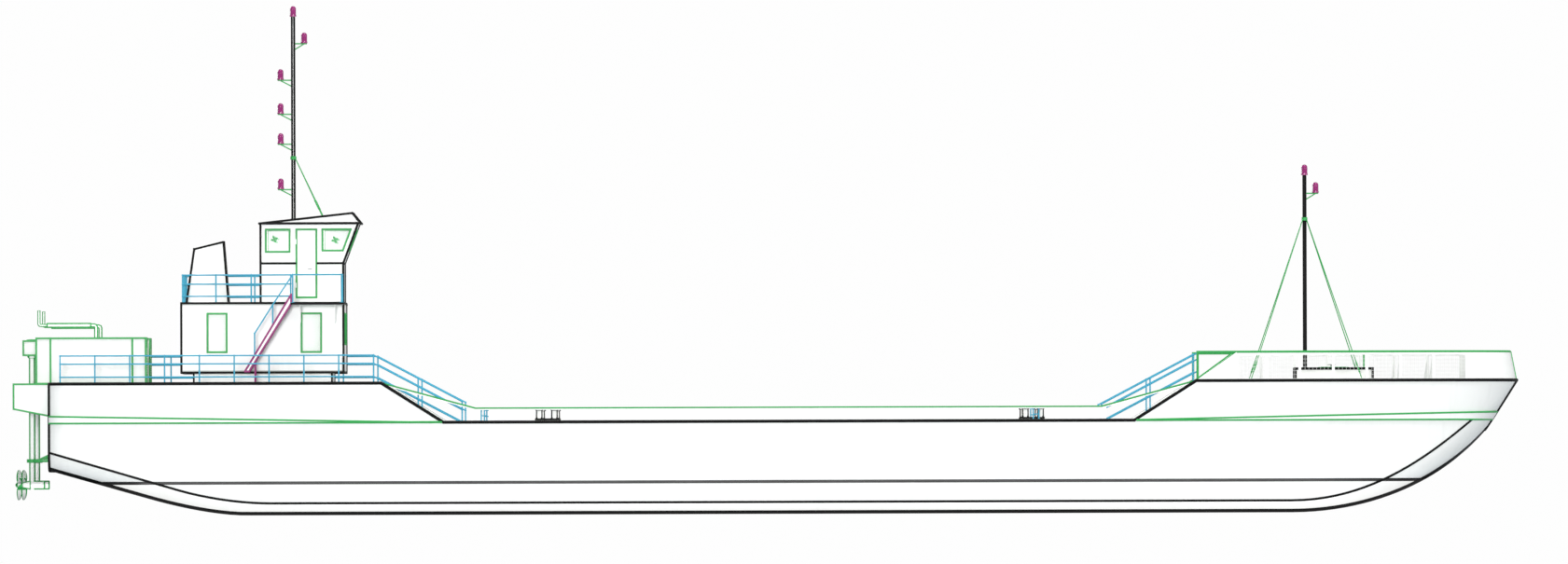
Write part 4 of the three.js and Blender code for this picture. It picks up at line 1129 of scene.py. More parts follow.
@dataclass
class Bulwarks:
    """The low bulwarks beside the cargo deck and the high one round the foredeck."""

    inset: float = 0.04
    thickness: float = 0.05
    low_top: float = 3.85
    low_aft: float = 15.4
    low_fore: float = 38.07
    strip: float = 0.06
    knee: float = 0.17
    ports: Line = ((15.55, 15.89), (17.43, 18.55), (35.03, 36.15))
    steps: Flat = (15.72, 35.70)
    step_half: float = 0.1
    step_pipe: float = 0.026
    rung: float = 0.02
    rungs: Flat = (0.23, 0.45)
    high_top: float = 5.81
    slope_end: float = 42.97
    foot_middle: float = 44.0
    lean: float = 0.2
    probe: float = 0.01
    cap: float = 0.045
    low_cap: float = 0.034
    fine: float = 0.03
    bracket_start: float = 0.4
    bracket_pitch: float = 1.25
    bracket_foot: float = 0.26
    bracket_head: float = 0.06
    plate: float = 0.02
    web_foot: float = 0.5
    web_head: float = 0.13
    web_top: float = 0.95
    bay_aft: float = 43.02
    first_web: float = 44.035
    bay_pitch: float = 1.215
    bay_count: int = 7
    web_half: float = 0.05
    bay_low: float = 0.07
    bay_high: float = 0.11
    wire: float = 0.004
    wire_pitch: float = 0.14

    def build(self) -> None:
        """Makes the three bulwarks."""
        for side, s in SIDES:
            self.low_bulwark(side, s)
        self.bow_bulwark()

    def slope_opening(self, top: float, foot: float, knee: float) -> list[Flat]:
        """Lists the corners of the opening under the sloping cap beside a break.

        Args:
            top: Where the break starts.
            foot: Where it ends.
            knee: Where the cap turns level.

        Returns:
            Pairs of x and z.
        """
        way = math.copysign(1.0, foot - top)
        cap_slope = (RAISED_DECK - self.low_top) / abs(knee - top)
        deck_slope = (RAISED_DECK - CARGO_DECK) / abs(foot - top)
        near = 2 * self.strip / (deck_slope - cap_slope)
        far = abs(knee - top) - self.knee
        low = CARGO_DECK + self.strip
        return [
            (top + way * near, RAISED_DECK - cap_slope * near - self.strip),
            (foot, low),
            (top + way * far, low),
            (top + way * far, RAISED_DECK - cap_slope * far - self.strip),
        ]

    def low_bulwark(self, side: str, s: int) -> None:
        """One low bulwark with its openings, its cap, its brackets and its boarding steps.

        Args:
            side: The side's name.
            s: 1 to port and -1 to starboard.
        """
        shaper = Shaper(Finish.HULL, Finish.GREEN, Finish.BLUE)
        y = s * (HALF_BEAM - self.inset)
        inner = s * (HALF_BEAM - self.inset - self.thickness)
        outline = [
            (AFT_BREAK_TOP, y, RAISED_DECK),
            (AFT_BREAK_FOOT, y, CARGO_DECK),
            (FORE_BREAK_FOOT, y, CARGO_DECK),
            (FORE_BREAK_TOP, y, RAISED_DECK),
            (self.low_fore, y, self.low_top),
            (self.low_aft, y, self.low_top),
        ]
        low, high = CARGO_DECK + self.strip, self.low_top - self.strip
        holes = [[(a, low), (b, low), (b, high), (a, high)] for a, b in self.ports]
        holes.append(self.slope_opening(AFT_BREAK_TOP, AFT_BREAK_FOOT, self.low_aft))
        holes.append(self.slope_opening(FORE_BREAK_TOP, FORE_BREAK_FOOT, self.low_fore))
        openings = [[(x, y, z) for x, z in hole] for hole in holes]
        shaper.prism(outline, (0.0, inner - y, 0.0), openings=openings)
        cap = [(x, (y + inner) / 2, z) for x, _, z in (outline[0], outline[5], outline[4], outline[3])]
        shaper.tube(cap, self.low_cap, Finish.GREEN)
        runs = [[x for x, _ in hole] for hole in holes]
        for i in range(int((FORE_BREAK_FOOT - AFT_BREAK_FOOT) / self.bracket_pitch)):
            x = AFT_BREAK_FOOT + self.bracket_start + i * self.bracket_pitch
            if not any(min(run) - 0.1 < x < max(run) + 0.1 for run in runs):
                self.bracket(shaper, x, inner, s)
        for middle in self.steps:
            self.step(shaper, middle, inner - s * 0.03)
        shaper.piece(f"low_bulwark_{side}", "bulwark_green", f"bulwark_mid_{side}")

    def bracket(self, shaper: Shaper, x: float, inner: float, s: int) -> None:
        """A bracket plate on the low bulwark's inner face.

        Args:
            shaper: Where it is made.
            x: Its place on x.
            inner: The face's place on y.
            s: 1 to port and -1 to starboard.
        """
        top = self.low_top - 0.05
        foot, head = inner - s * self.bracket_foot, inner - s * self.bracket_head
        spots = ((inner, CARGO_DECK), (foot, CARGO_DECK), (head, top), (inner, top))
        shaper.prism([(x, y, z) for y, z in spots], (self.plate, 0.0, 0.0), Finish.HULL)

    def step(self, shaper: Shaper, middle: float, y: float) -> None:
        """A boarding step of blue pipe.

        Args:
            shaper: Where it is made.
            middle: Its place on x.
            y: Its place on y.
        """
        aft, fore = middle - self.step_half, middle + self.step_half
        for x in (aft, fore):
            shaper.bar((x, y, CARGO_DECK), (x, y, self.low_top + 0.02), self.step_pipe, Finish.BLUE)
        for z in (CARGO_DECK + rung for rung in self.rungs):
            shaper.bar((aft, y, z), (fore, y, z), self.rung, Finish.BLUE)

    @property
    def bay(self) -> Flat:
        """The bays' lower and upper edge, as shares of the wall's height."""
        tall = self.high_top - RAISED_DECK
        return self.bay_low / tall, 1 - self.bay_high / tall

    def wall_point(self, x: float, share: float, depth: float = 0.0, upright: bool = False) -> Point:
        """Finds a point of the bow bulwark's starboard wall.

        Args:
            x: The place of the wall's foot, or the point's own place where upright is set.
            share: Its height as a share of the wall's.
            depth: How far inside the outer face it is.
            upright: Whether x is the point's own.

        Returns:
            The point.
        """
        pull = self.lean * share / (BOW_TIP - LINES.bow_start)
        if upright and x > LINES.bow_start:
            x = (x - pull * LINES.bow_start) / (1 - pull)
        back = self.lean * max(0.0, x - LINES.bow_start) / (BOW_TIP - LINES.bow_start)
        y = -LINES.deck_half(x) * (1 - share * back / 4)
        step = min(self.probe, BOW_TIP - x)
        if step < 1e-4:
            inward = Vector((-1.0, 0.0, 0.0))
        else:
            narrowing = LINES.deck_half(x - self.probe) - LINES.deck_half(x + step)
            inward = Vector((-narrowing, self.probe + step, 0.0)).normalized()
        z = RAISED_DECK + share * (self.high_top - RAISED_DECK)
        return (x - share * back + inward.x * depth, y + inward.y * depth, z)

    def wall_ring(self, x: float, low: float, high: float, upright: bool = False) -> list[Point]:
        """Returns the four corners of the wall's section between two shares of its height."""
        corners = ((low, 0.0), (high, 0.0), (high, self.thickness), (low, self.thickness))
        return [self.wall_point(x, share, depth, upright) for share, depth in corners]

    def bow_bulwark(self) -> None:
        """The high bulwark: a frame of plate with mesh in its bays, cut to a slope at its after ends."""
        low, high = self.bay
        curve = [f.deck_x for f in LINES.bow_frames()]
        feet = [FORE_BREAK_TOP, self.slope_end, self.foot_middle, *curve]
        webs = [self.first_web + i * self.bay_pitch for i in range(self.bay_count)]
        nose_start = webs[-1] - self.web_half
        wall = Shaper(Finish.HULL, Finish.GREEN)
        for shares in ((0.0, low), (high, 1.0)):
            half = [self.wall_ring(x, *shares) for x in feet]
            wall.skin([*half, *[mirrored(ring) for ring in reversed(half)]])
        nose = [self.wall_ring(nose_start, low, high, upright=True)]
        nose += [self.wall_ring(x, low, high) for x in curve if x > nose_start + 0.25]
        wall.skin([*nose, *[mirrored(ring) for ring in reversed(nose)]])
        for turned in (lambda points: points, mirrored):
            aft = [self.wall_ring(x, low, high) for x in (FORE_BREAK_TOP, self.bay_aft)]
            wall.skin([turned(ring) for ring in aft])
            for x in webs[:-1]:
                edges = (x - self.web_half, x + self.web_half)
                wall.skin([turned(self.wall_ring(edge, low, high, upright=True)) for edge in edges])
                foot, head = (0.0, self.thickness), (self.web_top, self.thickness)
                spots = (foot, head, (self.web_top, self.web_head), (0.0, self.web_foot))
                web = [self.wall_point(x, share, depth, upright=True) for share, depth in spots]
                wall.prism(turned(web), (self.plate, 0.0, 0.0), Finish.HULL)
            starts = [self.bay_aft, *[x + self.web_half for x in webs[:-1]]]
            for x0, x1 in zip(starts, [x - self.web_half for x in webs]):
                self.netting(wall, (x0, (x0 + x1) / 2, x1), turned)
        self.cut_slope(wall)
        rim = [self.wall_point(x, 1.0, self.thickness / 2) for x in feet if x >= self.slope_end - 0.01]
        wall.tube(round_the_end(rim), self.cap, Finish.GREEN)
        post, top = FORE_BREAK_TOP + 0.05, self.high_top
        for s in (1, -1):
            y = s * (HALF_BEAM - self.inset)
            foot, end = (post, y, RAISED_DECK), (self.slope_end, y, top)
            wall.tube([foot, (post, y, top), end], self.cap, Finish.GREEN)
            wall.tube([foot, end], self.fine, Finish.GREEN)
            corner = [self.wall_point(BOW_TIP, share) for share in (0.0, 1.0)]
            wall.tube(corner if s < 0 else mirrored(corner), self.fine, Finish.GREEN)
        wall.piece("bow_bulwark", "bulwark_green", "bulwark_bow")

    def netting(self, wall: Shaper, places: Sequence[float], turned: Callable[[list], list]) -> None:
        """White wire mesh in one bay.

        Args:
            wall: Where it is made.
            places: The bay's start, middle and end on x.
            turned: Turns points to the side that is wanted.
        """
        low, high = self.bay
        middle, pitch = self.thickness / 2, self.wire_pitch
        lines = []
        for i in range(1, int((places[-1] - places[0]) / pitch) + 1):
            lines.append([(places[0] + i * pitch, share) for share in (low, high)])
        tall = self.high_top - RAISED_DECK
        for i in range(1, int((high - low) * tall / pitch) + 1):
            lines.append([(x, low + i * pitch / tall) for x in places])
        for line in lines:
            points = [self.wall_point(x, share, middle, upright=True) for x, share in line]
            wall.tube(turned(points), self.wire, sides=4)

    def cut_slope(self, wall: Shaper) -> None:
        """Cuts the wall's after ends to their slope.

        Args:
            wall: What is cut.
        """
        run, climb = self.slope_end - FORE_BREAK_TOP, self.high_top - RAISED_DECK
        done = bmesh.ops.bisect_plane(
            wall.mesh,
            geom=[*wall.mesh.verts, *wall.mesh.edges, *wall.mesh.faces],
            plane_co=(FORE_BREAK_TOP, 0.0, RAISED_DECK),
            plane_no=(-climb, 0.0, run),
            clear_outer=True,
        )
        rims = [item for item in done["geom_cut"] if isinstance(item, bmesh.types.BMEdge)]
        bmesh.ops.holes_fill(wall.mesh, edges=rims, sides=0)


@dataclass
class Rails:
    """Pipe rails with ball joints and foot plates.

    Heights are those over the deck, from the top bar down. A post is given by its place on x.
    """

    post: float = 0.029
    bar: float = 0.027
    joint: float = 0.038
    foot_half: float = 0.08
    foot_thick: float = 0.02
    edge: float = 5.05
    slope: float = 0.528
    clear: float = 0.04
    deck_heights: Row = (1.015, 0.717, 0.243)
    deck_first: float = 0.379
    deck_pitch: float = 1.261
    deck_count: int = 10
    deck_slope_posts: Flat = (13.34, 14.93)
    fore_heights: Row = (1.0, 0.78, 0.34)
    fore_slope_posts: Flat = (39.83, 38.07)
    upper_heights: Row = (1.02, 0.69, 0.25)
    upper_posts: Row = (4.78, 5.99, 7.27, 8.70)
    # Places on y of the house top's rail, at its outer and its inner end.
    upper_side: Flat = (3.15, 0.76)
    # Place on x, foot and head of each post beside the stair.
    stair_posts: tuple[Point, ...] = ((7.40, 5.78, 6.59), (8.06, 6.88, 7.63))
    stair_head: float = 8.785
    stair_fore: float = 10.56
    stair_top: float = 8.72
    # Places on y beside the stair, on the wing and at the inner end.
    stair_side: Row = (3.92, 3.94, 2.15)

    def foot(self, shaper: Shaper, x: float, y: float, z: float) -> None:
        """A foot plate under a post."""
        half, thick = self.foot_half, self.foot_thick
        shaper.box((x - half, y - half, z), (x + half, y + half, z + thick), Finish.BLUE, bevel=0.006)

    def stand(self, shaper: Shaper, x: float, y: float, low: float, bars: Sequence[float]) -> None:
        """A post as high as its first bar, with a ball where each bar meets it.

        Args:
            shaper: Where it is made.
            x: Its place on x.
            y: Its place on y.
            low: Height of its foot.
            bars: Heights of the bars.
        """
        shaper.bar((x, y, low), (x, y, bars[0]), self.post, sides=10)
        for z in bars:
            shaper.ball((x, y, z), self.joint)

    def beside_break(
        self, shaper: Shaper, y: float, level_part: Sequence[float], posts: Flat, heights: Sequence[float]
    ) -> None:
        """The posts beside a deck's break, and the bars, which run level and then down past them.

        Args:
            shaper: Where they are made.
            y: Their place on y.
            level_part: The places on x that the bars pass level; they turn down at the last.
            posts: The posts beside the break, from its top.
            heights: The bars' heights.
        """
        head = level_part[-1]
        for x in posts:
            deck = LINES.deck_height(x)
            levels = [RAISED_DECK + h - self.slope * abs(x - head) for h in heights]
            self.stand(shaper, x, y, deck, [z for z in levels if z > deck + 0.05])
        for level in (RAISED_DECK + height for height in heights):
            reach = min(abs(posts[-1] - head), (level - CARGO_DECK - self.clear) / self.slope)
            end = (head + math.copysign(reach, posts[-1] - head), y, level - self.slope * reach)
            shaper.tube([*[(x, y, level) for x in level_part], end], self.bar)

    def deck_rail(self, side: str, s: int) -> None:
        """The rail of the raised after deck, which goes on down beside the break.

        Args:
            side: The side's name.
            s: 1 to port and -1 to starboard.
        """
        shaper = Shaper(Finish.BLUE)
        y = s * self.edge
        xs = [self.deck_first + self.deck_pitch * i for i in range(self.deck_count)]
        levels = [RAISED_DECK + h for h in self.deck_heights]
        for x in xs:
            self.stand(shaper, x, y, RAISED_DECK, levels)
            self.foot(shaper, x, y, RAISED_DECK)
        self.beside_break(shaper, y, (xs[0], xs[-1]), self.deck_slope_posts, self.deck_heights)
        shaper.piece(f"deck_rail_{side}", "rail_blue", f"rail_deck_{side}")

    def fore_rail(self, side: str, s: int) -> None:
        """The sloping rail up to the foredeck.

        Args:
            side: The side's name.
            s: 1 to port and -1 to starboard.
        """
        shaper = Shaper(Finish.BLUE)
        y = s * self.edge
        head = FORE_BREAK_TOP + 0.05
        levels = [RAISED_DECK + h for h in self.fore_heights]
        self.stand(shaper, head, y, RAISED_DECK, levels)
        self.beside_break(shaper, y, (head,), self.fore_slope_posts, self.fore_heights)
        shaper.piece(f"fore_rail_{side}", "rail_blue", f"rail_fore_{side}")

    def upper_rail(self, side: str, s: int) -> None:
        """The rail round the after part of the house top.

        Args:
            side: The side's name.
            s: 1 to port and -1 to starboard.
        """
        shaper = Shaper(Finish.BLUE)
        y, inner = (s * place for place in self.upper_side)
        aft, fore = self.upper_posts[0], self.upper_posts[-1]
        levels = [House.top + h for h in self.upper_heights]
        spots = [(x, y) for x in self.upper_posts] + [(aft, (y + inner) / 2), (aft, inner)]
        for x, post_y in spots:
            self.stand(shaper, x, post_y, House.top, levels)
            self.foot(shaper, x, post_y, House.top)
        for z in levels:
            shaper.tube([(fore, y, z), (aft, y, z), (aft, inner, z)], self.bar)
        shaper.piece(f"upper_rail_{side}", "rail_blue", f"rail_upper_{side}")

    def stair_rail(self, side: str, s: int) -> None:
        """The stair's handrail, which goes on round the wing.

        Args:
            side: The side's name.
            s: 1 to port and -1 to starboard.
        """
        shaper = Shaper(Finish.BLUE)
        y, wing_y, inner = (s * place for place in self.stair_side)
        top = self.stair_top
        for x, low, high in self.stair_posts:
            self.stand(shaper, x, y, low, [high])
        spots = ((self.stair_head, y), (self.stair_fore, wing_y), (self.stair_fore, inner))
        for x, post_y in spots:
            self.stand(shaper, x, post_y, House.top, [top])
            self.foot(shaper, x, post_y, House.top)
        line = [(x, y, high) for x, _, high in self.stair_posts] + [(*spot, top) for spot in spots]
        shaper.tube(line, self.bar)
        shaper.piece(f"stair_rail_{side}", "rail_blue", f"rail_stair_{side}")

    def build(self) -> None:
        """Makes the rails of both sides."""
        for side, s in SIDES:
            self.deck_rail(side, s)
            self.fore_rail(side, s)
            self.upper_rail(side, s)
            self.stair_rail(side, s)


@dataclass
class Bollards:
    """Double mooring bollards on the cargo deck.

    A plate is given by half its length, half its width, its height and its bevel, a post by the
    radii and heights of its outline.
    """

    places: tuple[tuple[str, float], ...] = (("aft", 17.99), ("fore", 35.59))
    y: float = 4.65
    gap: float = 0.55
    plates: tuple[Row, ...] = ((0.47, 0.21, 0.05, 0.012), (0.43, 0.17, 0.13, 0.02))
    post_foot: Line = ((0.0, 0.1), (0.15, 0.1), (0.124, 0.17))
    post_head: Line = ((0.12, 0.41), (0.15, 0.43), (0.152, 0.48), (0.13, 0.5), (0.0, 0.5))

    def build(self) -> None:
        """Makes the four bollards."""
        for end, x in self.places:
            for side, s in SIDES:
                self.bollard(f"{end}_{side}", x, s * self.y)

    def bollard(self, place: str, x: float, y: float) -> None:
        """One double bollard, with white sides to its posts.

        Args:
            place: The end and the side, for its name.
            x: Its middle on x.
            y: Its middle on y.
        """
        shaper = Shaper(Finish.BLACK, Finish.HOUSE)
        for length, width, height, bevel in self.plates:
            low, high = (x - length, y - width, CARGO_DECK), (x + length, y + width, CARGO_DECK + height)
            shaper.box(low, high, bevel=bevel)
        for post_x in (x - self.gap / 2, x + self.gap / 2):
            faces = len(shaper.mesh.faces)
            shaper.lathe([*self.post_foot, *self.post_head], (post_x, y, CARGO_DECK), steps=28)
            shaper.paint_sides(faces, Finish.HOUSE, 0.82)
        shaper.piece(f"double_bollard_{place}", "bollard_black", f"bollard_{place}")


@dataclass
class House:
    """The deckhouse: black corner trims, green window frames, glass, the after door and the stairs."""

    aft: float = 4.73
    fore: float = 10.61
    low: float = 5.18
    top: float = 7.70
    half: float = 3.2
    plinth_ends: Flat = (5.17, 10.18)
    plinth_half: float = 2.9
    wing_aft: float = 8.745
    wing_half: float = 4.0
    wing_bracket: float = 0.3
    # Depths of its foot and its head under the top.
    wing_bracket_z: Flat = (0.75, 0.08)
    tall: Line = ((5.68, 6.375), (9.09, 9.80))
    tall_z: Flat = (5.92, 7.32)
    front: Row = (-2.0, 0.0, 2.0)
    front_half: float = 0.45
    front_sill: float = 0.3
    frame: float = 0.07
    gap: float = 0.004
    pane_depth: Flat = (0.05, 0.035)
    blind_depth: Flat = (0.15, 0.11)
    blind_over: float = 0.05
    slat_pitch: float = 0.07
    door_half: float = 0.38
    door_z: Flat = (5.36, 7.26)
    door_frame_gap: float = 0.03
    door_border: Flat = (0.1, 0.12)
    lever_z: float = 6.3
    stringers: Flat = (3.30, 3.90)
    stringer: Line = ((7.05, 5.22), (7.20, 5.22), (8.73, 7.68), (8.73, 8.0))
    stringer_thick: float = 0.04
    # After face, fore face and top.
    stair_leg: Row = (7.39, 7.45, 5.62)
    stair_run: float = 1.5
    tread_count: int = 9
    tread_depth: float = 0.23

    def build(self, nodes: dict[str, bpy.types.Object]) -> None:
        """Dresses the CAD walls and adds what they carry.

        Args:
            nodes: The frame's nodes.
        """
        walls = [f"house_wall_{place}" for place in ("starboard", "port", "fore", "aft")]
        dress(nodes, Finish.HOUSE, "house_plinth", *walls, "house_door")
        dress(nodes, Finish.DECK, "house_roof", "house_floor")
        self.trims()
        self.windows()
        self.door()
        for side, s in SIDES:
            self.stair(side, s)

    def trims(self) -> None:
        """Black bars on every edge of the house, its plinth and its wings."""
        shaper = Shaper(Finish.BLACK, Finish.HOUSE)
        shaper.box_edges((self.aft, -self.half, self.low), (self.fore, self.half, self.top), TRIM)
        deep, shallow = (self.top - down for down in self.wing_bracket_z)
        for s in (1, -1):
            half, wing, y = s * self.half, s * self.wing_half, s * self.plinth_half
            for x in self.plinth_ends:
                shaper.edge((x, y, RAISED_DECK), (x, y, self.low), TRIM * 0.8)
            spots = ((self.wing_aft, half), (self.wing_aft, wing), (self.fore, wing), (self.fore, half))
            shaper.edges([(*spot, self.top - 0.03) for spot in spots], TRIM)
            for x in (self.wing_aft + self.wing_bracket, self.fore - self.wing_bracket):
                tip = s * (self.wing_half - 0.08)
                outline = [(x, half, deep), (x, half, shallow), (x, tip, shallow)]
                shaper.prism(outline, (0.03, 0.0, 0.0), Finish.HOUSE)
        shaper.piece("house_trims", "house_white")

    def windows(self) -> None:
        """Green frames outside, panes in the middle of the walls and blinds behind them, which carry a
        painted glow.
        """
        frames, panes, blinds = Shaper(Finish.GREEN), Shaper(Finish.GLASS), Shaper(Finish.BLIND)
        g, over = self.gap, self.blind_over
        for s in (1, -1):
            y = s * self.half
            near, far = (y - s * depth for depth in self.pane_depth)
            back, face = (y - s * depth for depth in self.blind_depth)
            for x0, x1 in self.tall:
                z0, z1 = self.tall_z
                corners = [(x0, y, z0), (x1, y, z0), (x1, y, z1), (x0, y, z1)]
                frames.edges(corners, self.frame, closed=True)
                panes.box((x0 + g, near, z0 + g), (x1 - g, far, z1 - g))
                blinds.box((x0 - over, back, z0 - over), (x1 + over, face, z1 + over))
                for i in range(int((z1 - z0) / self.slat_pitch)):
                    z = z0 + self.slat_pitch * (i + 0.5)
                    front = face + s * 0.005
                    blinds.bar((x0 - 0.02, front, z), (x1 + 0.02, front, z), 0.012, sides=6)
        z0, z1 = self.tall_z[0] + self.front_sill, self.tall_z[1]
        x = self.fore
        near, far = (x - depth for depth in self.pane_depth)
        for middle in self.front:
            y0, y1 = middle - self.front_half, middle + self.front_half
            corners = [(x, y0, z0), (x, y1, z0), (x, y1, z1), (x, y0, z1)]
            frames.edges(corners, self.frame, closed=True)
            panes.box((near, y0 + g, z0 + g), (far, y1 - g, z1 - g))
        frames.piece("house_window_frames", "door_green")
        panes.piece("house_window_panes", "window_glass")
        blinds.piece("house_blinds", "house_white")

    def door(self) -> None:
        """The after door's green frame on the wall, and the border and lever on its leaf."""
        x, half = self.aft, self.door_half
        z0, z1 = self.door_z
        side, head = half + self.door_frame_gap, z1 + self.door_frame_gap
        frame_bars = Shaper(Finish.GREEN)
        frame_bars.edges([(x, -side, z0), (x, -side, head)], self.frame)
        frame_bars.edges([(x, -side, head), (x, side, head), (x, side, z0)], self.frame)
        frame_bars.piece("house_door_frame", "door_green")
        leaf = Shaper(Finish.GREEN, Finish.STEEL)
        y, low, high = half - self.door_border[0], z0 + self.door_border[1], z1 - self.door_border[1]
        leaf.edges([(x, -y, low), (x, y, low), (x, y, high), (x, -y, high)], 0.03, closed=True)
        leaf.lever((x, half - 0.2, self.lever_z), (-1.0, 0.0, 0.0), (0.0, -0.14, 0.0))
        leaf.piece("house_door_fittings", "door_green", body="house_door")

    def stair(self, side: str, s: int) -> None:
        """A magenta stair: two stringers, treads with nosings and legs at its foot.

        Args:
            side: The side's name.
            s: 1 to port and -1 to starboard.
        """
        shaper = Shaper(Finish.MAGENTA, Finish.HOUSE, Finish.STEEL)
        inner, outer = self.stringers
        thick = self.stringer_thick
        leg_aft, leg_fore, leg_top = self.stair_leg
        for y in (inner, outer):
            outline = [(x, s * y, z) for x, z in self.stringer]
            shaper.prism(outline, (0.0, s * thick, 0.0), Finish.HOUSE)
            rim = [(x, s * (y + thick / 2), z) for x, z in self.stringer]
            shaper.edges(rim, 0.07, closed=True)
            shaper.box((leg_aft, s * y, RAISED_DECK), (leg_fore, s * (y + thick), leg_top), bevel=0.006)
            low = (leg_aft - 0.05, s * (y - 0.03), RAISED_DECK)
            shaper.box(low, (leg_fore + 0.05, s * (y + 0.07), RAISED_DECK + 0.02))
        foot_x, foot_z = self.stringer[0]
        low, high = sorted((s * (inner + thick), s * outer))
        for i in range(1, self.tread_count + 1):
            share = i / (self.tread_count + 1)
            x = foot_x + self.stair_run * share - 0.01
            z = foot_z + (self.top - foot_z) * share
            tread_end = (x + self.tread_depth, high, z - 0.005)
            shaper.box((x, low, z - 0.03), tread_end, Finish.STEEL, bevel=0.004)
            shaper.bar((x + 0.005, low, z - 0.015), (x + 0.005, high, z - 0.015), 0.018, sides=8)
        shaper.piece(f"side_stair_{side}", "stair_magenta", f"stair_{side}")


@dataclass
class Wheelhouse:
    """The wheelhouse: trims, window frames and panes, doors' fittings, roof edges and the helm."""

    aft: float = 7.58
    fore: float = 10.585
    belt: float = 9.15
    brow: float = 11.13
    top: float = 10.60
    half: float = 1.75
    frame: float = 0.068
    pane_inset: float = 0.05
    pane_thick: float = 0.014
    side_windows: tuple[Line, ...] = (
        ((7.775, 9.57), (8.637, 9.57), (8.637, 10.38), (7.775, 10.38)),
        ((9.835, 9.61), (10.57, 9.61), (10.86, 10.38), (9.835, 10.38)),
    )
    end_windows: Line = ((-1.59, -0.61), (-0.49, 0.49), (0.61, 1.59))
    end_window_z: Flat = (9.61, 10.38)
    fans: Line = ((8.082, 10.03), (10.28, 10.0))
    fan_hub: float = 0.035
    blade_tip: float = 0.145
    blade_middle: float = 0.088
    blade_half: float = 0.045
    # After edge, fore edge, foot and head.
    door: tuple[float, float, float, float] = (8.888, 9.611, 7.91, 10.38)
    lever_z: float = 8.95
    roof: Line = ((7.54, 10.60), (11.21, 10.61), (10.92, 10.97))
    roof_half: float = 1.86
    console: Line = ((9.75, 0.0), (10.35, 0.0), (10.35, 1.25), (9.85, 1.0))
    console_half: float = 0.9
    wheel: Flat = (9.72, 1.05)
    wheel_radii: Flat = (0.24, 0.27)
    wheel_half: float = 0.015
    seat_x: float = 8.95

    def build(self, nodes: dict[str, bpy.types.Object]) -> None:
        """Dresses the CAD walls and adds what they carry.

        Args:
            nodes: The frame's nodes.
        """
        walls = [f"wheelhouse_wall_{place}" for place in ("starboard", "port", "fore", "aft")]
        doors = [f"wheelhouse_door_{side}" for side, _ in SIDES]
        dress(nodes, Finish.HOUSE, *walls, *doors, "wheelhouse_roof")
        self.trims()
        self.windows()
        self.doors()
        self.helm()

    def front_x(self, z: float) -> float:
        """Returns the front wall's x at a height."""
        return self.fore + (self.brow - self.fore) * max(0.0, z - self.belt) / (self.top - self.belt)

    def trims(self) -> None:
        """Black bars on the edges, along the belt and round the roof's wedge."""
        shaper = Shaper(Finish.BLACK)
        base, belt = House.top, self.belt
        after, front = [(self.aft, base), (self.aft, self.top)], [(self.fore, belt), (self.fore, base)]
        for s in (1, -1):
            y = s * self.half
            corners = [*after, (self.brow, self.top), *front]
            shaper.edges([(x, y, z) for x, z in corners], TRIM, closed=True)
            shaper.edge((self.aft, y, belt), (self.door[0] - 0.03, y, belt), TRIM)
            shaper.edge((self.door[1] + 0.03, y, belt), (self.fore, y, belt), TRIM)
            shaper.edges([(x, s * self.roof_half, z) for x, z in self.roof], TRIM, closed=True)
        for x, z in ((self.fore, belt), (self.aft, belt), (self.fore, base), (self.aft, base)):
            shaper.edge((x, -self.half, z), (x, self.half, z), TRIM)
        for x, z in self.roof:
            shaper.edge((x, -self.roof_half, z), (x, self.roof_half, z), TRIM)
        shaper.piece("wheelhouse_trims", "house_white")

    def windows(self) -> None:
        """Green frames, panes, and the small bladed fan in each side window."""
        frames, panes, fans = Shaper(Finish.GREEN), Shaper(Finish.GLASS), Shaper(Finish.GREEN)
        inset, thick = self.pane_inset, self.pane_thick
        for s in (1, -1):
            y = s * self.half
            for outline in self.side_windows:
                frames.edges([(x, y, z) for x, z in outline], self.frame, closed=True)
                panes.prism([(x, y - s * inset, z) for x, z in outline], (0.0, s * thick, 0.0))
            for x, z in self.fans:
                self.fan(fans, x, y - s * 0.02, z, s)
        z0, z1 = self.end_window_z
        after = (self.aft, self.aft, inset)
        for y0, y1 in self.end_windows:
            for low_x, high_x, inward in ((self.front_x(z0), self.front_x(z1), -inset), after):
                corners = [(low_x, y0, z0), (low_x, y1, z0), (high_x, y1, z1), (high_x, y0, z1)]
                frames.edges(corners, self.frame, closed=True)
                panes.prism([(x + inward, y, z) for x, y, z in corners], (thick, 0.0, 0.0))
        frames.piece("wheelhouse_window_frames", "door_green")
        panes.piece("wheelhouse_window_panes", "window_glass")
        fans.piece("wheelhouse_window_fans", "door_green")

    def fan(self, shaper: Shaper, x: float, y: float, z: float, s: int) -> None:
        """A small fan in a window: a hub and four leaf-shaped blades.

        Args:
            shaper: Where it is made.
            x: Its place on x.
            y: Its place on y.
            z: Its height.
            s: Which side it faces.
        """
        shaper.bar((x, y - 0.02, z), (x, y + 0.02, z), self.fan_hub)
        leaf = [(0.0, 0.0), (self.blade_middle, self.blade_half)]
        leaf += [(self.blade_tip, 0.0), (self.blade_middle, -self.blade_half)]
        for k in range(4):
            turn = math.radians(20 + 90 * k)
            c, d = math.cos(turn), math.sin(turn)
            outline = [(x + out * c - side * d, y, z + out * d + side * c) for out, side in leaf]
            shaper.prism(outline, (0.0, s * 0.008, 0.0))

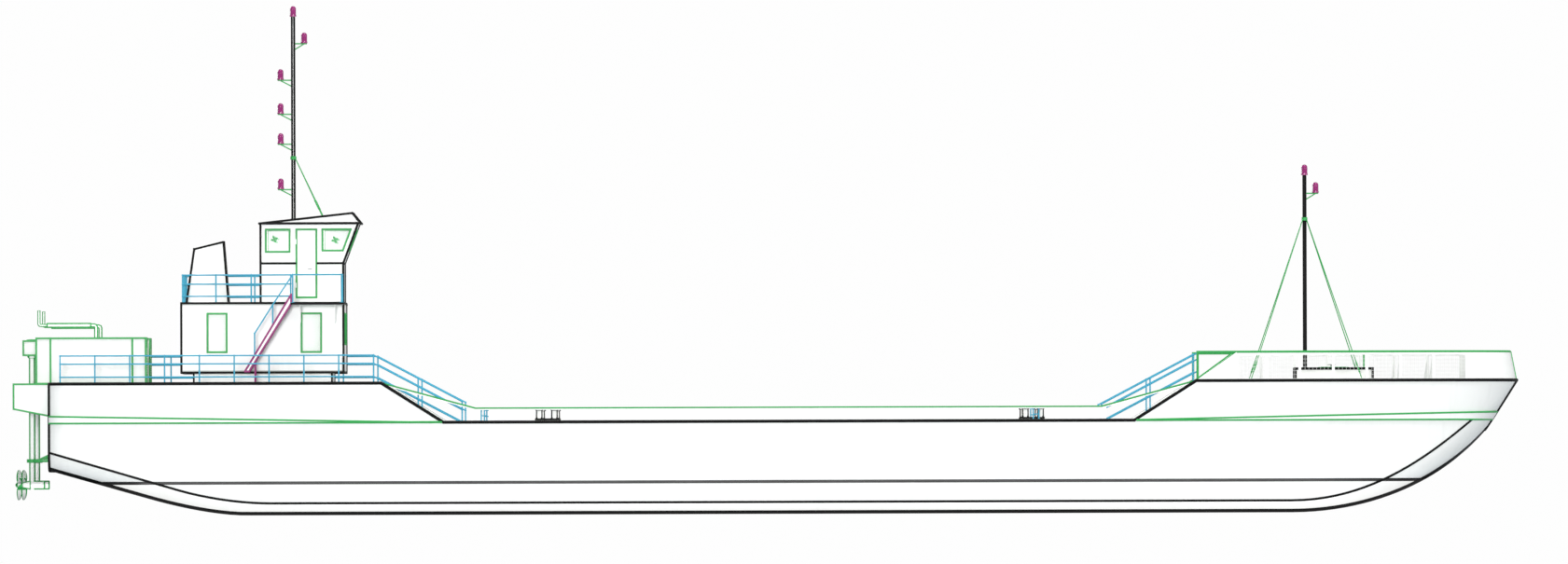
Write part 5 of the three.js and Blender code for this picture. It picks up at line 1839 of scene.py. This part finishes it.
    def doors(self) -> None:
        """Green frames round the side doors, and a lever on each leaf."""
        x0, x1, z0, z1 = self.door
        for side, s in SIDES:
            y = s * self.half
            bars = Shaper(Finish.GREEN)
            corners = [(x0, y, z0), (x0, y, z1), (x1, y, z1), (x1, y, z0)]
            bars.edges(corners, self.frame, closed=True)
            bars.piece(f"wheelhouse_door_frame_{side}", "door_green")
            leaf = Shaper(Finish.STEEL)
            leaf.lever((x1 - 0.18, y, self.lever_z), (0.0, s, 0.0), (-0.13, 0.0, 0.0))
            leaf.piece(f"wheelhouse_door_fittings_{side}", "door_green", body=f"wheelhouse_door_{side}")

    def helm(self) -> None:
        """The console, the wheel and the seat that show through the windows."""
        shaper = Shaper(Finish.CUSHION, Finish.STEEL, Finish.BLACK)
        floor = House.top
        console = [(x, -self.console_half, floor + z) for x, z in self.console]
        shaper.prism(console, (0.0, 2 * self.console_half, 0.0), bevel=0.02)
        wheel_x, wheel_z = self.wheel[0], floor + self.wheel[1]
        (inner, outer), half = self.wheel_radii, self.wheel_half
        rim = [(inner, -half), (outer, 0.0), (inner, half), (inner, -half)]
        shaper.lathe(rim, (wheel_x, 0.0, wheel_z), Finish.BLACK, axis=(-1, 0, 0.25))
        for k in range(4):
            turn = math.radians(45 + 90 * k)
            end = (wheel_x, inner * math.cos(turn), wheel_z + inner * math.sin(turn))
            shaper.bar((wheel_x, 0.0, wheel_z), end, 0.012, Finish.STEEL, sides=8)
        x, seat = self.seat_x, floor + 0.5
        shaper.bar((x, 0.0, floor), (x, 0.0, seat), 0.06, Finish.STEEL)
        shaper.box((x - 0.25, -0.28, seat), (x + 0.25, 0.28, seat + 0.14), bevel=0.05)
        shaper.box((x - 0.33, -0.27, seat + 0.1), (x - 0.19, 0.27, seat + 0.8), bevel=0.05)
        shaper.piece("helm", "house_white")


@dataclass
class Funnel:
    """The funnel: white, with black edges and rounded corners."""

    # After edge, fore edge and half the width of its foot.
    base: tuple[float, float, float] = (4.83, 6.415, 0.6)
    after_top: Flat = (5.117, 9.69)
    fore_top: Flat = (6.236, 9.94)
    top_half: float = 0.48
    corner: float = 0.12

    def build(self) -> None:
        """Makes the funnel."""
        aft, fore, half = self.base
        z = House.top
        low = [(aft, -half, z), (fore, -half, z), (fore, half, z), (aft, half, z)]
        (ax, az), (fx, fz), t = self.after_top, self.fore_top, self.top_half
        high = [(ax, -t, az), (fx, -t, fz), (fx, t, fz), (ax, t, az)]
        shaper = Shaper(Finish.HOUSE, Finish.BLACK)
        shaper.skin([low, high])
        upright = [e for e in shaper.mesh.edges if abs(e.verts[0].co.z - e.verts[1].co.z) > 1.0]
        soften(shaper.mesh, upright, self.corner, segments=4)
        for s in (1, -1):
            foot_y, head_y, rim_y = s * (half - 0.04), s * (t - 0.04), s * (t - 0.02)
            shaper.edge((aft + 0.03, foot_y, z), (ax + 0.03, head_y, az), TRIM, Finish.BLACK)
            shaper.edge((fore - 0.03, foot_y, z), (fx - 0.03, head_y, fz), TRIM, Finish.BLACK)
            shaper.edge((ax + 0.05, rim_y, az), (fx - 0.05, rim_y, fz), TRIM, Finish.BLACK)
        for x, top in ((ax + 0.02, az), (fx - 0.02, fz)):
            shaper.edge((x, -t + 0.04, top), (x, t - 0.04, top), TRIM, Finish.BLACK)
        shaper.piece("funnel_casing", "house_white", "funnel")


@dataclass
class Masts:
    """The two masts with their lamps, and the stays."""

    lamp_radius: float = 0.1215
    lamp_height: float = 0.386
    lens: Flat = (0.07, 0.27)
    ribs: int = 5
    cap_foot: float = 0.285
    cap_steps: int = 6
    drop: float = 0.27
    arm: Flat = (0.05, 0.045)
    stay: float = 0.018
    collar_height: float = 0.12
    turnbuckle: Flat = (0.75, 0.35)
    main_x: float = 8.753
    main_radius: float = 0.081
    main_z: Flat = (10.735, 18.15)
    main_collar: float = 13.06
    main_lamps: Line = (
        (9.155, 17.18), (8.29, 15.85), (8.29, 14.61), (8.29, 13.52), (8.29, 11.87)
    )
    main_stay_foot: Point = (9.83, 1.3, 10.845)
    fore_x: float = 45.54
    fore_radius: float = 0.075
    fore_z: Flat = (5.215, 12.27)
    fore_collar: float = 10.73
    fore_lamps: Line = ((45.94, 11.62),)
    fore_stay_feet: Flat = (43.52, 47.58)
    fore_stay_half: float = 2.3

    def lamp(self, shaper: Shaper, x: float, z: float) -> None:
        """A ship's lamp: base, ribbed lens and cap.

        Args:
            shaper: Where it is made.
            x: Its place on x.
            z: The height of its base.
        """
        r, h, cap = self.lamp_radius, self.lamp_height, self.cap_foot
        low, high = self.lens
        profile = [(0.0, 0.0), (r, 0.0), (r, 0.05), (r * 0.9, 0.065)]
        for level in (low + (high - low) * i / self.ribs for i in range(self.ribs)):
            profile += [(r * 0.87, level), (r * 0.93, level + 0.02)]
        profile += [(r * 0.87, cap - 0.01), (r * 0.92, cap)]
        for turn in (i / self.cap_steps * math.pi / 2 for i in range(self.cap_steps + 1)):
            profile.append((r * 0.9 * math.cos(turn), cap + (h - cap) * math.sin(turn)))
        shaper.lathe(profile, (x, 0.0, z), Finish.LAMP, steps=16)

    def mast(
        self,
        name: str,
        node: str,
        x: float,
        radius: float,
        foot: float,
        top: float,
        lamps: Sequence[Flat],
        white_sides: bool = False,
    ) -> None:
        """A mast with arm lamps.

        Args:
            name: The piece's name.
            node: The CAD node that it stands for.
            x: Its place.
            radius: Its radius.
            foot: The height that it stands on.
            top: The height of its top.
            lamps: The x and base height of each lamp on an arm.
            white_sides: Whether a white line runs up each side.
        """
        shaper = Shaper(Finish.BLACK, Finish.GREEN, Finish.LAMP, Finish.HOUSE)
        height, flange = top - foot, radius * 2.1
        profile = [(0.0, 0.0), (flange, 0.0), (flange, 0.03), (radius, 0.06)]
        profile += [(radius, height - 0.02), (radius * 0.7, height), (0.0, height)]
        shaper.lathe(profile, (x, 0.0, foot), steps=96)
        if white_sides:
            shaper.paint_sides(0, Finish.HOUSE, 0.999)
        self.lamp(shaper, x, top - 0.005)
        for lamp_x, base in lamps:
            level_arm, brace = self.arm
            way, z = math.copysign(1.0, lamp_x - x), base - 0.02
            shaper.edge((x, 0.0, z), (lamp_x + way * 0.08, 0.0, z), level_arm, Finish.GREEN)
            brace_end = (lamp_x - way * 0.02, 0.0, base - 0.04)
            shaper.edge((x, 0.0, base - self.drop), brace_end, brace, Finish.GREEN)
            plate = [(0.0, 0.0), (0.1, 0.0), (0.1, 0.015), (0.0, 0.015)]
            shaper.lathe(plate, (lamp_x, 0.0, base - 0.012), Finish.GREEN)
            self.lamp(shaper, lamp_x, base)
        shaper.piece(name, "mast_black", node)

    def stay_set(
        self, name: str, node: str, x: float, radius: float, collar: float, feet: Sequence[Point]
    ) -> None:
        """Stays from a collar on the mast, each with a turnbuckle and an eye at its foot.

        Args:
            name: The piece's name.
            node: The CAD node that it stands for.
            x: The mast's place.
            radius: The mast's radius.
            collar: The height of the collar's top.
            feet: Where the stays end.
        """
        shaper = Shaper(Finish.GREEN)
        band = ring_profile((radius, radius + 0.03), (-self.collar_height, 0.0))
        shaper.lathe(band, (x, 0.0, collar))
        for foot in feet:
            end = Vector(foot)
            away = Vector((end.x - x, end.y, 0.0)).normalized() * (radius + 0.02)
            start = Vector((x, 0.0, collar - self.collar_height / 2)) + away
            along = (end - start).normalized()
            shaper.bar(start, end, self.stay, sides=8)
            low, high = (end - along * back for back in self.turnbuckle)
            shaper.bar(low, high, 0.03, sides=8)
            shaper.bar(low - along * 0.06, low, 0.012, sides=8, end_radius=0.03)
            shaper.bar(end - Vector((0, 0, 0.01)), end + Vector((0, 0, 0.03)), 0.07)
        shaper.piece(name, "stay_green", node)

    def build(self) -> None:
        """Makes both masts and their stays."""
        main, fore = (self.main_x, self.main_radius), (self.fore_x, self.fore_radius)
        self.mast("main_mast", "mast_main", *main, *self.main_z, self.main_lamps, white_sides=True)
        self.mast("foremast", "mast_fore", *fore, *self.fore_z, self.fore_lamps)
        x, y, z = self.main_stay_foot
        feet = [(x, s * y, z) for s in (1, -1)]
        self.stay_set("main_stays", "stays_main", *main, self.main_collar, feet)
        half = self.fore_stay_half
        feet = [(x, s * half, RAISED_DECK) for x in self.fore_stay_feet for s in (1, -1)]
        self.stay_set("fore_stays", "stays_fore", *fore, self.fore_collar, feet)


@dataclass
class Foredeck:
    """The trunk with its hatch and its vent."""

    aft: float = 45.17
    fore: float = 47.97
    top: float = 5.215
    half: float = 1.3
    bar: float = 0.09
    hatch: Flat = (46.1, 47.02)
    hatch_half: float = 0.44
    mouth: Flat = (0.0001, 0.0004)
    lid_z: Flat = (5.272, 5.285)
    wheel_x: float = 46.5
    wheel_z: float = 5.36
    wheel_radii: Flat = (0.14, 0.16)
    wheel_half: float = 0.012
    spokes: int = 3
    vent_x: float = 47.68
    vent_top: float = 5.88
    vent_foot: Line = ((0.0, 0.0), (0.07, 0.0), (0.07, 0.015), (0.03, 0.02))
    vent_head: Line = ((0.03, 0.075), (0.055, 0.07), (0.06, 0.03), (0.045, 0.006), (0.0, 0.0))

    def build(self, nodes: dict[str, bpy.types.Object]) -> None:
        """Dresses the trunk and the lid, and adds trims, a hand wheel on the lid, and the vent.

        Args:
            nodes: The frame's nodes.
        """
        dress(nodes, Finish.HOUSE, "trunk")
        dress(nodes, Finish.GREEN, "hatch_lid")
        (aft, fore), half = self.hatch, self.hatch_half
        shaper = Shaper(Finish.BLACK)
        low, high = (self.aft, -self.half, RAISED_DECK), (self.fore, self.half, self.top)
        shaper.box_edges(low, high, self.bar)
        mouth_low, mouth_high = (self.top + over for over in self.mouth)
        shaper.box((aft, -half, mouth_low), (fore, half, mouth_high))
        shaper.piece("trunk_trims", "house_white")
        lid = Shaper(Finish.STEEL, Finish.GREEN)
        self.hand_wheel(lid)
        lid_low, lid_high = self.lid_z
        lid.box((aft, -half, lid_low), (fore, half, lid_high), Finish.GREEN, bevel=0.006)
        lid.piece("hatch_fittings", "door_green", body="hatch_lid")
        vent = Shaper(Finish.GREEN)
        height = self.vent_top - self.top
        head = [(radius, height - down) for radius, down in self.vent_head]
        vent.lathe([*self.vent_foot, *head], (self.vent_x, 0.0, self.top), steps=24)
        vent.piece("mushroom_vent", "fitting_green", "vent")

    def hand_wheel(self, lid: Shaper) -> None:
        """A steel hand wheel with spokes on a short spindle.

        Args:
            lid: Where it is made.
        """
        (inner, outer), half = self.wheel_radii, self.wheel_half
        x, z = self.wheel_x, self.wheel_z
        rim = [(inner, -half), (outer, 0.0), (inner, half), (inner, -half)]
        lid.lathe(rim, (x, 0.0, z), steps=24)
        lid.bar((x, 0.0, z - 0.09), (x, 0.0, z + 0.01), 0.03)
        for turn in (math.radians(360 / self.spokes * k) for k in range(self.spokes)):
            lid.bar((x, 0.0, z), (x + inner * math.cos(turn), inner * math.sin(turn), z), 0.01, sides=8)


@dataclass
class SternGear:
    """The stern platform and the two thrusters with their engines.

    Turned parts are given by the radii and heights of their outlines.
    """

    y: float = 3.0
    leg_x: float = -0.693
    leg_radius: float = 0.1165
    leg_foot: float = 0.95
    leg_head: float = 5.8164
    leg_flange: float = 0.16
    shaft_z: float = 1.12
    pod_fore: float = -0.23
    pod: Line = (
        (0.0, 0.0), (0.15, 0.0), (0.1655, 0.015), (0.1655, 0.05), (0.1655, 0.52), (0.1655, 0.56),
        (0.1, 0.80), (0.0, 0.80),
    )
    pod_white: Line = ((-0.75, -0.28), (-1.04, -0.79))
    platform: Line = (
        (-1.33, 3.876), (0.0, 3.612), (0.0, RAISED_DECK), (-1.33, RAISED_DECK)
    )
    platform_half: float = 4.3
    well: Flat = (0.16, 0.21)
    # After face, fore face and top.
    casing: tuple[float, float, float] = (-0.514, 3.456, 6.439)
    casing_half: float = 0.85
    casing_seams: Flat = (0.0, 2.97)
    casing_doors: Line = ((0.2, 1.35), (1.55, 2.75))
    casing_door_z: Flat = (4.98, 6.25)
    casing_skin: float = 0.012
    # Count, lowest height, pitch and height of the slats.
    louvres: tuple[int, float, float, float] = (7, 5.75, 0.06, 0.025)
    grille: tuple[int, float, float, float] = (12, 5.15, 0.08, 0.035)
    grille_half: float = 0.6
    gear_aft: float = -1.0
    gear_half: float = 0.32
    gear_z: Flat = (5.817, 6.351)
    gear_cap: Line = ((0.0, 0.0), (0.22, 0.0), (0.2, 0.05), (0.0, 0.06))
    pipe_z: float = 6.91
    riser_x: float = 1.635
    riser: float = 0.074
    riser_collar: Line = ((0.0, 0.0), (0.12, 0.0), (0.12, 0.02), (0.074, 0.03))
    tail_x: float = -0.436
    tail_top: float = 7.44
    tail: float = 0.0575
    rain_cap: Line = ((0.0, 0.0), (0.066, 0.0), (0.066, 0.01), (0.0, 0.02))
    silencer_x: float = 1.464
    silencer: Line = (
        (0.0, 0.0), (0.085, 0.0), (0.095, 0.012), (0.095, 0.05), (0.095, 1.575), (0.095, 1.613),
        (0.085, 1.625), (0.0, 1.625),
    )
    silencer_white: Flat = (-0.11, 1.41)
    bracket_z: Flat = (1.93, 2.06)
    bracket_ring: Flat = (0.135, 0.2)
    bracket_head: float = 2.27
    bracket_half: float = 0.26
    bolts: Flat = (1.98, 2.22)
    propeller_x: float = -1.16
    hub_fore: float = 0.118
    hub: Line = (
        (0.0, 0.0), (0.1, 0.0), (0.105, 0.06), (0.1, 0.16), (0.075, 0.23), (0.035, 0.262), (0.0, 0.268)
    )
    # Columns: radius, chord, thickness, twist from the disc in degrees, skew in degrees.
    blade: tuple[Row, ...] = (
        (0.09, 0.18, 0.042, 54.0, 0.0),
        (0.18, 0.27, 0.034, 47.0, 1.0),
        (0.28, 0.33, 0.027, 41.0, 3.0),
        (0.38, 0.35, 0.021, 36.0, 7.0),
        (0.48, 0.31, 0.016, 32.0, 13.0),
        (0.55, 0.22, 0.012, 30.0, 18.0),
        (0.592, 0.08, 0.008, 29.0, 23.0),
    )
    blade_count: int = 4
    # Within this of a blade's middle the paint is white.
    white: float = 0.08
    # Nearer the shaft, a section bends as it does here.
    root_radius: float = 0.15
    # Columns: place along the chord and height over it, as shares of chord and thickness.
    foil: Line = (
        (-0.5, 0.0), (-0.3, 0.42), (0.0, 0.5), (0.3, 0.36), (0.5, 0.0), (0.3, -0.25), (0.0, -0.35),
        (-0.3, -0.28),
    )

    def build(self, nodes: dict[str, bpy.types.Object]) -> None:
        """Makes the platform's edges and both thrusters.

        Args:
            nodes: The frame's nodes.
        """
        dress(nodes, Finish.HULL, "stern_platform")
        self.platform_edges()
        for side, s in SIDES:
            for make in (self.engine, self.exhaust, self.leg, self.bracket, self.propeller):
                make(side, s * self.y)

    def platform_edges(self) -> None:
        """Green bars on the platform's edges and a ring round each well."""
        shaper = Shaper(Finish.GREEN)
        half, width = self.platform_half, TRIM * 0.8
        rim = ring_profile(self.well, (0.0, 0.025))
        for s in (1, -1):
            shaper.edges([(x, s * half, z) for x, z in self.platform], width, closed=True)
            shaper.lathe(rim, (self.leg_x, s * self.y, RAISED_DECK), steps=28)
        for x, z in self.platform:
            if x < 0:
                shaper.edge((x, -half, z), (x, half, z), width)
        shaper.piece("platform_edges", "fitting_green")

    def engine(self, side: str, y: float) -> None:
        """A casing of white panels in a green frame, with louvres, and its gear head.

        Args:
            side: The side's name.
            y: The thruster's place on y.
        """
        aft, fore, top = self.casing
        near, far = y - self.casing_half, y + self.casing_half
        shaper = Shaper(Finish.HOUSE, Finish.GREEN, Finish.STEEL)
        shaper.box((aft, near, RAISED_DECK), (fore, far, top), bevel=0.03)
        shaper.box_edges((aft, near, RAISED_DECK + 0.02), (fore, far, top), 0.065, Finish.GREEN)
        for x in self.casing_seams:
            seam = [(x, near, RAISED_DECK), (x, near, top), (x, far, top), (x, far, RAISED_DECK)]
            shaper.edges(seam, 0.068, Finish.GREEN)
        self.casing_side(shaper, y)
        count, first, pitch, height = self.grille
        for z in (first + pitch * k for k in range(count)):
            low = (fore - 0.01, y - self.grille_half, z)
            shaper.box(low, (fore + 0.02, y + self.grille_half, z + height))
        gear, (low, high) = self.gear_half, self.gear_z
        shaper.box((self.gear_aft, y - gear, low), (aft, y + gear, high), bevel=0.02)
        edge_low, edge_high = (self.gear_aft, y - gear, low + 0.013), (aft - 0.02, y + gear, high - 0.006)
        shaper.box_edges(edge_low, edge_high, 0.06, Finish.GREEN)
        shaper.lathe(self.gear_cap, (self.leg_x, y, high), Finish.GREEN)
        shaper.piece(f"engine_housing_{side}", "fitting_green", f"engine_casing_{side}")

    def casing_side(self, shaper: Shaper, y: float) -> None:
        """Two doors with louvres and a turning handle on the casing's inboard side.

        Args:
            shaper: Where they are made.
            y: The casing's middle.
        """
        inboard = y - math.copysign(self.casing_half, y)
        out = -math.copysign(self.casing_skin, y)
        low, high = sorted((inboard, inboard + 2 * out))
        door_low, door_high = self.casing_door_z
        count, first, pitch, height = self.louvres
        for x0, x1 in self.casing_doors:
            face, back = min(inboard, inboard + out), max(inboard, inboard + out)
            shaper.box((x0, face, door_low), (x1, back, door_high), bevel=0.004)
            for z in (first + pitch * k for k in range(count)):
                shaper.box((x0 + 0.15, low, z), (x1 - 0.15, high, z + height))
            x, z = x1 - 0.1, 5.55
            shaper.bar((x, inboard, z), (x, inboard + 3 * out, z), 0.03, Finish.STEEL)

    def exhaust(self, side: str, y: float) -> None:
        """The riser, the silencer, and the tail pipe with its rain cap, each with white sides.

        Args:
            side: The side's name.
            y: The thruster's place on y.
        """
        shaper = Shaper(Finish.GREEN, Finish.HOUSE)
        x, z, casing_top = self.riser_x, self.pipe_z, self.casing[2]
        riser = [(x, casing_top), (x, z - 0.07), (x - 0.02, z - 0.02), (x - 0.07, z), (x - 0.215, z)]
        shaper.tube([(px, y, pz) for px, pz in riser], self.riser, sides=16)
        end = self.tail_x
        bend = [(end + 0.336, z), (end + 0.056, z), (end + 0.016, z + 0.016), (end, z + 0.056)]
        shaper.tube([(px, y, pz) for px, pz in (*bend, (end, self.tail_top))], self.tail, sides=16)
        shaper.paint_sides(0, Finish.HOUSE, 0.95)
        faces = len(shaper.mesh.faces)
        shaper.lathe(self.silencer, (self.silencer_x, y, z), axis=(-1.0, 0.0, 0.0), steps=28)
        shaper.paint_sides(faces, Finish.HOUSE, 0.88, self.silencer_white)
        shaper.lathe(self.riser_collar, (x, y, casing_top))
        shaper.lathe(self.rain_cap, (end, y, self.tail_top))
        shaper.piece(f"exhaust_line_{side}", "fitting_green", f"exhaust_{side}")

    def leg(self, side: str, y: float) -> None:
        """The turning leg with its top flange and its pod, each with white sides.

        Args:
            side: The side's name.
            y: The thruster's place on y.
        """
        shaper = Shaper(Finish.GREEN, Finish.HOUSE)
        radius, flange, foot, head = self.leg_radius, self.leg_flange, self.leg_foot, self.leg_head
        profile = [(0.0, foot), (radius, foot), (radius, head - 0.1), (flange, head - 0.08)]
        shaper.lathe([*profile, (flange, head), (0.0, head)], (self.leg_x, y, 0.0), steps=32)
        shaper.paint_sides(0, Finish.HOUSE, 0.84)
        faces = len(shaper.mesh.faces)
        shaper.lathe(self.pod, (self.pod_fore, y, self.shaft_z), axis=(-1.0, 0.0, 0.0), steps=32)
        for reach in self.pod_white:
            shaper.paint_sides(faces, Finish.HOUSE, 0.74, reach)
        shaper.piece(
            f"thruster_pod_{side}", "fitting_green", f"thruster_leg_{side}", body=f"thruster_{side}"
        )

    def bracket(self, side: str, y: float) -> None:
        """The steadying bracket: a ring round the leg, two arms, a brace and a bolted foot.

        Args:
            side: The side's name.
            y: The thruster's place on y.
        """
        shaper = Shaper(Finish.GREEN, Finish.STEEL)
        x, foot = self.leg_x, -0.02
        low, high = self.bracket_z
        shaper.lathe(ring_profile(self.bracket_ring, self.bracket_z), (x, y, 0.0), steps=36)
        for s in (1, -1):
            arm = [(x + 0.08, 0.155), (x + 0.08, 0.195), (-0.03, 0.26), (-0.03, 0.17)]
            outline = [(px, y + s * out, low + 0.02) for px, out in arm]
            shaper.prism(outline, (0.0, 0.0, 0.09), bevel=0.004)
        brace = [(x + 0.18, y, high - 0.01), (foot, y, high - 0.01), (foot, y, self.bracket_head)]
        shaper.prism(brace, (0.0, 0.03, 0.0), bevel=0.004)
        web = [(x + 0.17, -0.08), (foot, -0.2), (foot, 0.2), (x + 0.17, 0.08)]
        shaper.prism([(px, y + out, low + 0.04) for px, out in web], (0, 0, 0.05))
        half = self.bracket_half
        shaper.box((-0.035, y - half, low), (0.0, y + half, self.bracket_head), bevel=0.008)
        for s, z in product((1, -1), self.bolts):
            bolt_y = y + s * 0.22
            shaper.bar((-0.05, bolt_y, z), (-0.03, bolt_y, z), 0.02, Finish.STEEL, sides=6)
        shaper.piece(f"leg_bracket_{side}", "fitting_green", f"thruster_bracket_{side}")

    def blade_rings(self, y: float, k: int) -> tuple[list[list[Point]], list[Vector]]:
        """Works out one blade of the propeller.

        Args:
            y: The shaft's place on y.
            k: Which blade it is.

        Returns:
            The blade's sections from the hub out, and the middle of each.
        """
        x, z = self.propeller_x, self.shaft_z
        rings, middles = [], []
        for radius, chord, thick, twist, skew in self.blade:
            angle = math.radians(twist)
            ahead = math.radians(360 / self.blade_count * k + skew)
            ring = []
            for share, depth in self.foil:
                u, v = chord * share, thick * depth
                along = u * math.sin(angle) + v * math.cos(angle)
                around = u * math.cos(angle) - v * math.sin(angle)
                turn = ahead + around / max(radius, self.root_radius)
                ring.append((x + along, y + radius * math.sin(turn), z + radius * math.cos(turn)))
            rings.append(ring)
            middles.append(Vector((x, y + radius * math.sin(ahead), z + radius * math.cos(ahead))))
        return rings, middles

    def propeller(self, side: str, y: float) -> None:
        """A four-bladed propeller with skewed, twisted blades, white in the middle.

        Args:
            side: The side's name.
            y: The thruster's place on y.
        """
        shaper = Shaper(Finish.GREEN, Finish.HOUSE)
        hub = (self.propeller_x + self.hub_fore, y, self.shaft_z)
        shaper.lathe(self.hub, hub, axis=(-1.0, 0.0, 0.0), steps=32)
        for k in range(self.blade_count):
            rings, middles = self.blade_rings(y, k)
            faces = len(shaper.mesh.faces)
            shaper.skin(rings)
            spots = [(inner + outer) / 2 for inner, outer in zip(middles[1:], middles[2:-1])]
            shaper.paint(
                faces,
                Finish.HOUSE,
                lambda face: any((face.calc_center_median() - spot).length < self.white for spot in spots),
            )
        shaper.piece(f"screw_{side}", "propeller_bronze", f"propeller_{side}", body=f"propeller_{side}")


@dataclass
class Studio:
    """The camera, the light and the floor at the waterline.

    The reference frame is 1681 by 605 pixels and one pixel is 33.82 mm of the full-size vessel.
    """

    frame_width_px: float = 1681.0
    metres_per_px: float = 0.03382
    aim: Flat = (26.57, 8.43)
    lens: float = 600.0
    sensor: float = 36.0
    near_side: float = 1.7
    tilt_degrees: float = 0.175
    floor_radius: float = 350.0
    floor_colour: tuple[float, float, float, float] = (0.52, 0.56, 0.59, 1.0)
    sky_light: float = 0.42
    backdrop: float = 0.99

    def build(self) -> None:
        """Sets everything up."""
        self.camera()
        self.lights()
        self.floor()

    def camera(self) -> None:
        """A long lens at the waterline's height, level with the floor, aimed a little upwards."""
        width = self.frame_width_px * self.metres_per_px * MODEL_SCALE
        distance = width * self.lens / self.sensor + self.near_side
        aim_x = (self.aim[0] - MIDDLE_X) * MODEL_SCALE
        aim_z = self.aim[1] * MODEL_SCALE
        eye_z = WATERLINE * MODEL_SCALE
        data = bpy.data.cameras.new("camera")
        data.lens = self.lens
        data.sensor_width = self.sensor
        data.clip_start, data.clip_end = 1.0, 2000.0
        camera = add_object("camera", data)
        camera.location = (aim_x, -distance, eye_z)
        look = Vector((0.0, distance, aim_z - eye_z))
        roll = Matrix.Rotation(math.radians(self.tilt_degrees), 4, "Y")
        camera.rotation_mode = "QUATERNION"
        camera.rotation_quaternion = roll.to_quaternion() @ look.to_track_quat("-Z", "Y")
        bpy.context.scene.camera = camera

    def lights(self) -> None:
        """A white sky, soft suns from every side that is looked at, and lamps in both rooms."""
        world = bpy.data.worlds.new("studio")
        world.use_nodes = True
        sheet = Sheet(world.node_tree)
        seen = sheet.add("ShaderNodeLightPath").outputs["Is Camera Ray"]
        levels = {"Value": seen, "To Min": self.sky_light, "To Max": self.backdrop}
        strength = sheet.add("ShaderNodeMapRange", levels).outputs[0]
        sky = sheet.add("ShaderNodeBackground", {"Color": srgb("ffffff"), "Strength": strength})
        sheet.add("ShaderNodeOutputWorld", {"Surface": sky.outputs[0]})
        bpy.context.scene.world = world
        for name, direction, strength, softness in (
            ("level_sun", (0.1, 1.0, -0.09), 1.35, 10.0),
            ("bow_sun", (-1.0, 0.5, -0.2), 0.6, 20.0),
            ("high_sun", (-0.25, 0.3, -1.0), 1.5, 20.0),
            ("low_sun", (-0.1, 1.0, 0.4), 2.2, 20.0),
            ("port_sun", (0.7, -1.0, -0.4), 1.0, 20.0),
        ):
            data = bpy.data.lights.new(name, "SUN")
            data.energy = strength
            data.angle = math.radians(softness)
            lamp = add_object(name, data)
            lamp.rotation_mode = "QUATERNION"
            lamp.rotation_quaternion = Vector(direction).to_track_quat("-Z", "Y")
        self.room_lamp("wheelhouse_lamp", (9.1, 0.0, 10.5), (1.2, 1.5), 20.0)
        self.room_lamp("deckhouse_lamp", (7.7, 0.0, 7.55), (2.2, 2.6), 20.0)
        bpy.context.scene.view_settings.view_transform = "Standard"

    def room_lamp(self, name: str, place: Point, size: Flat, power: float) -> None:
        """A broad lamp under a ceiling.

        Args:
            name: Its name.
            place: Where it is, in full-size metres.
            size: Its length and width on the model.
            power: Its power.
        """
        data = bpy.data.lights.new(name, "AREA")
        data.shape = "RECTANGLE"
        data.size, data.size_y = size
        data.energy = power
        add_object(name, data).location = TO_MODEL @ Vector(place)

    def floor(self) -> None:
        """A pale disc at the waterline."""
        shape = bmesh.new()
        bmesh.ops.create_circle(shape, cap_ends=True, segments=96, radius=self.floor_radius)
        bmesh.ops.translate(shape, vec=(0.0, 0.0, WATERLINE * MODEL_SCALE), verts=shape.verts)
        data = bpy.data.meshes.new("floor")
        shape.to_mesh(data)
        shape.free()
        material, sheet = new_material("floor_pale")
        sheet.surface({"Base Color": self.floor_colour, "Roughness": 0.9})
        data.materials.append(material)
        made = add_object("floor", data)


def main() -> None:
    """Builds every sub-assembly round the frame."""
    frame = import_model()
    nodes = frame["nodes"]
    Hull().build()
    Bulwarks().build()
    Rails().build()
    Bollards().build()
    House().build(nodes)
    Wheelhouse().build(nodes)
    Funnel().build()
    Masts().build()
    Foredeck().build(nodes)
    SternGear().build(nodes)
    Studio().build()
    bpy.context.view_layer.update()


if __name__ == "__main__":
    main()
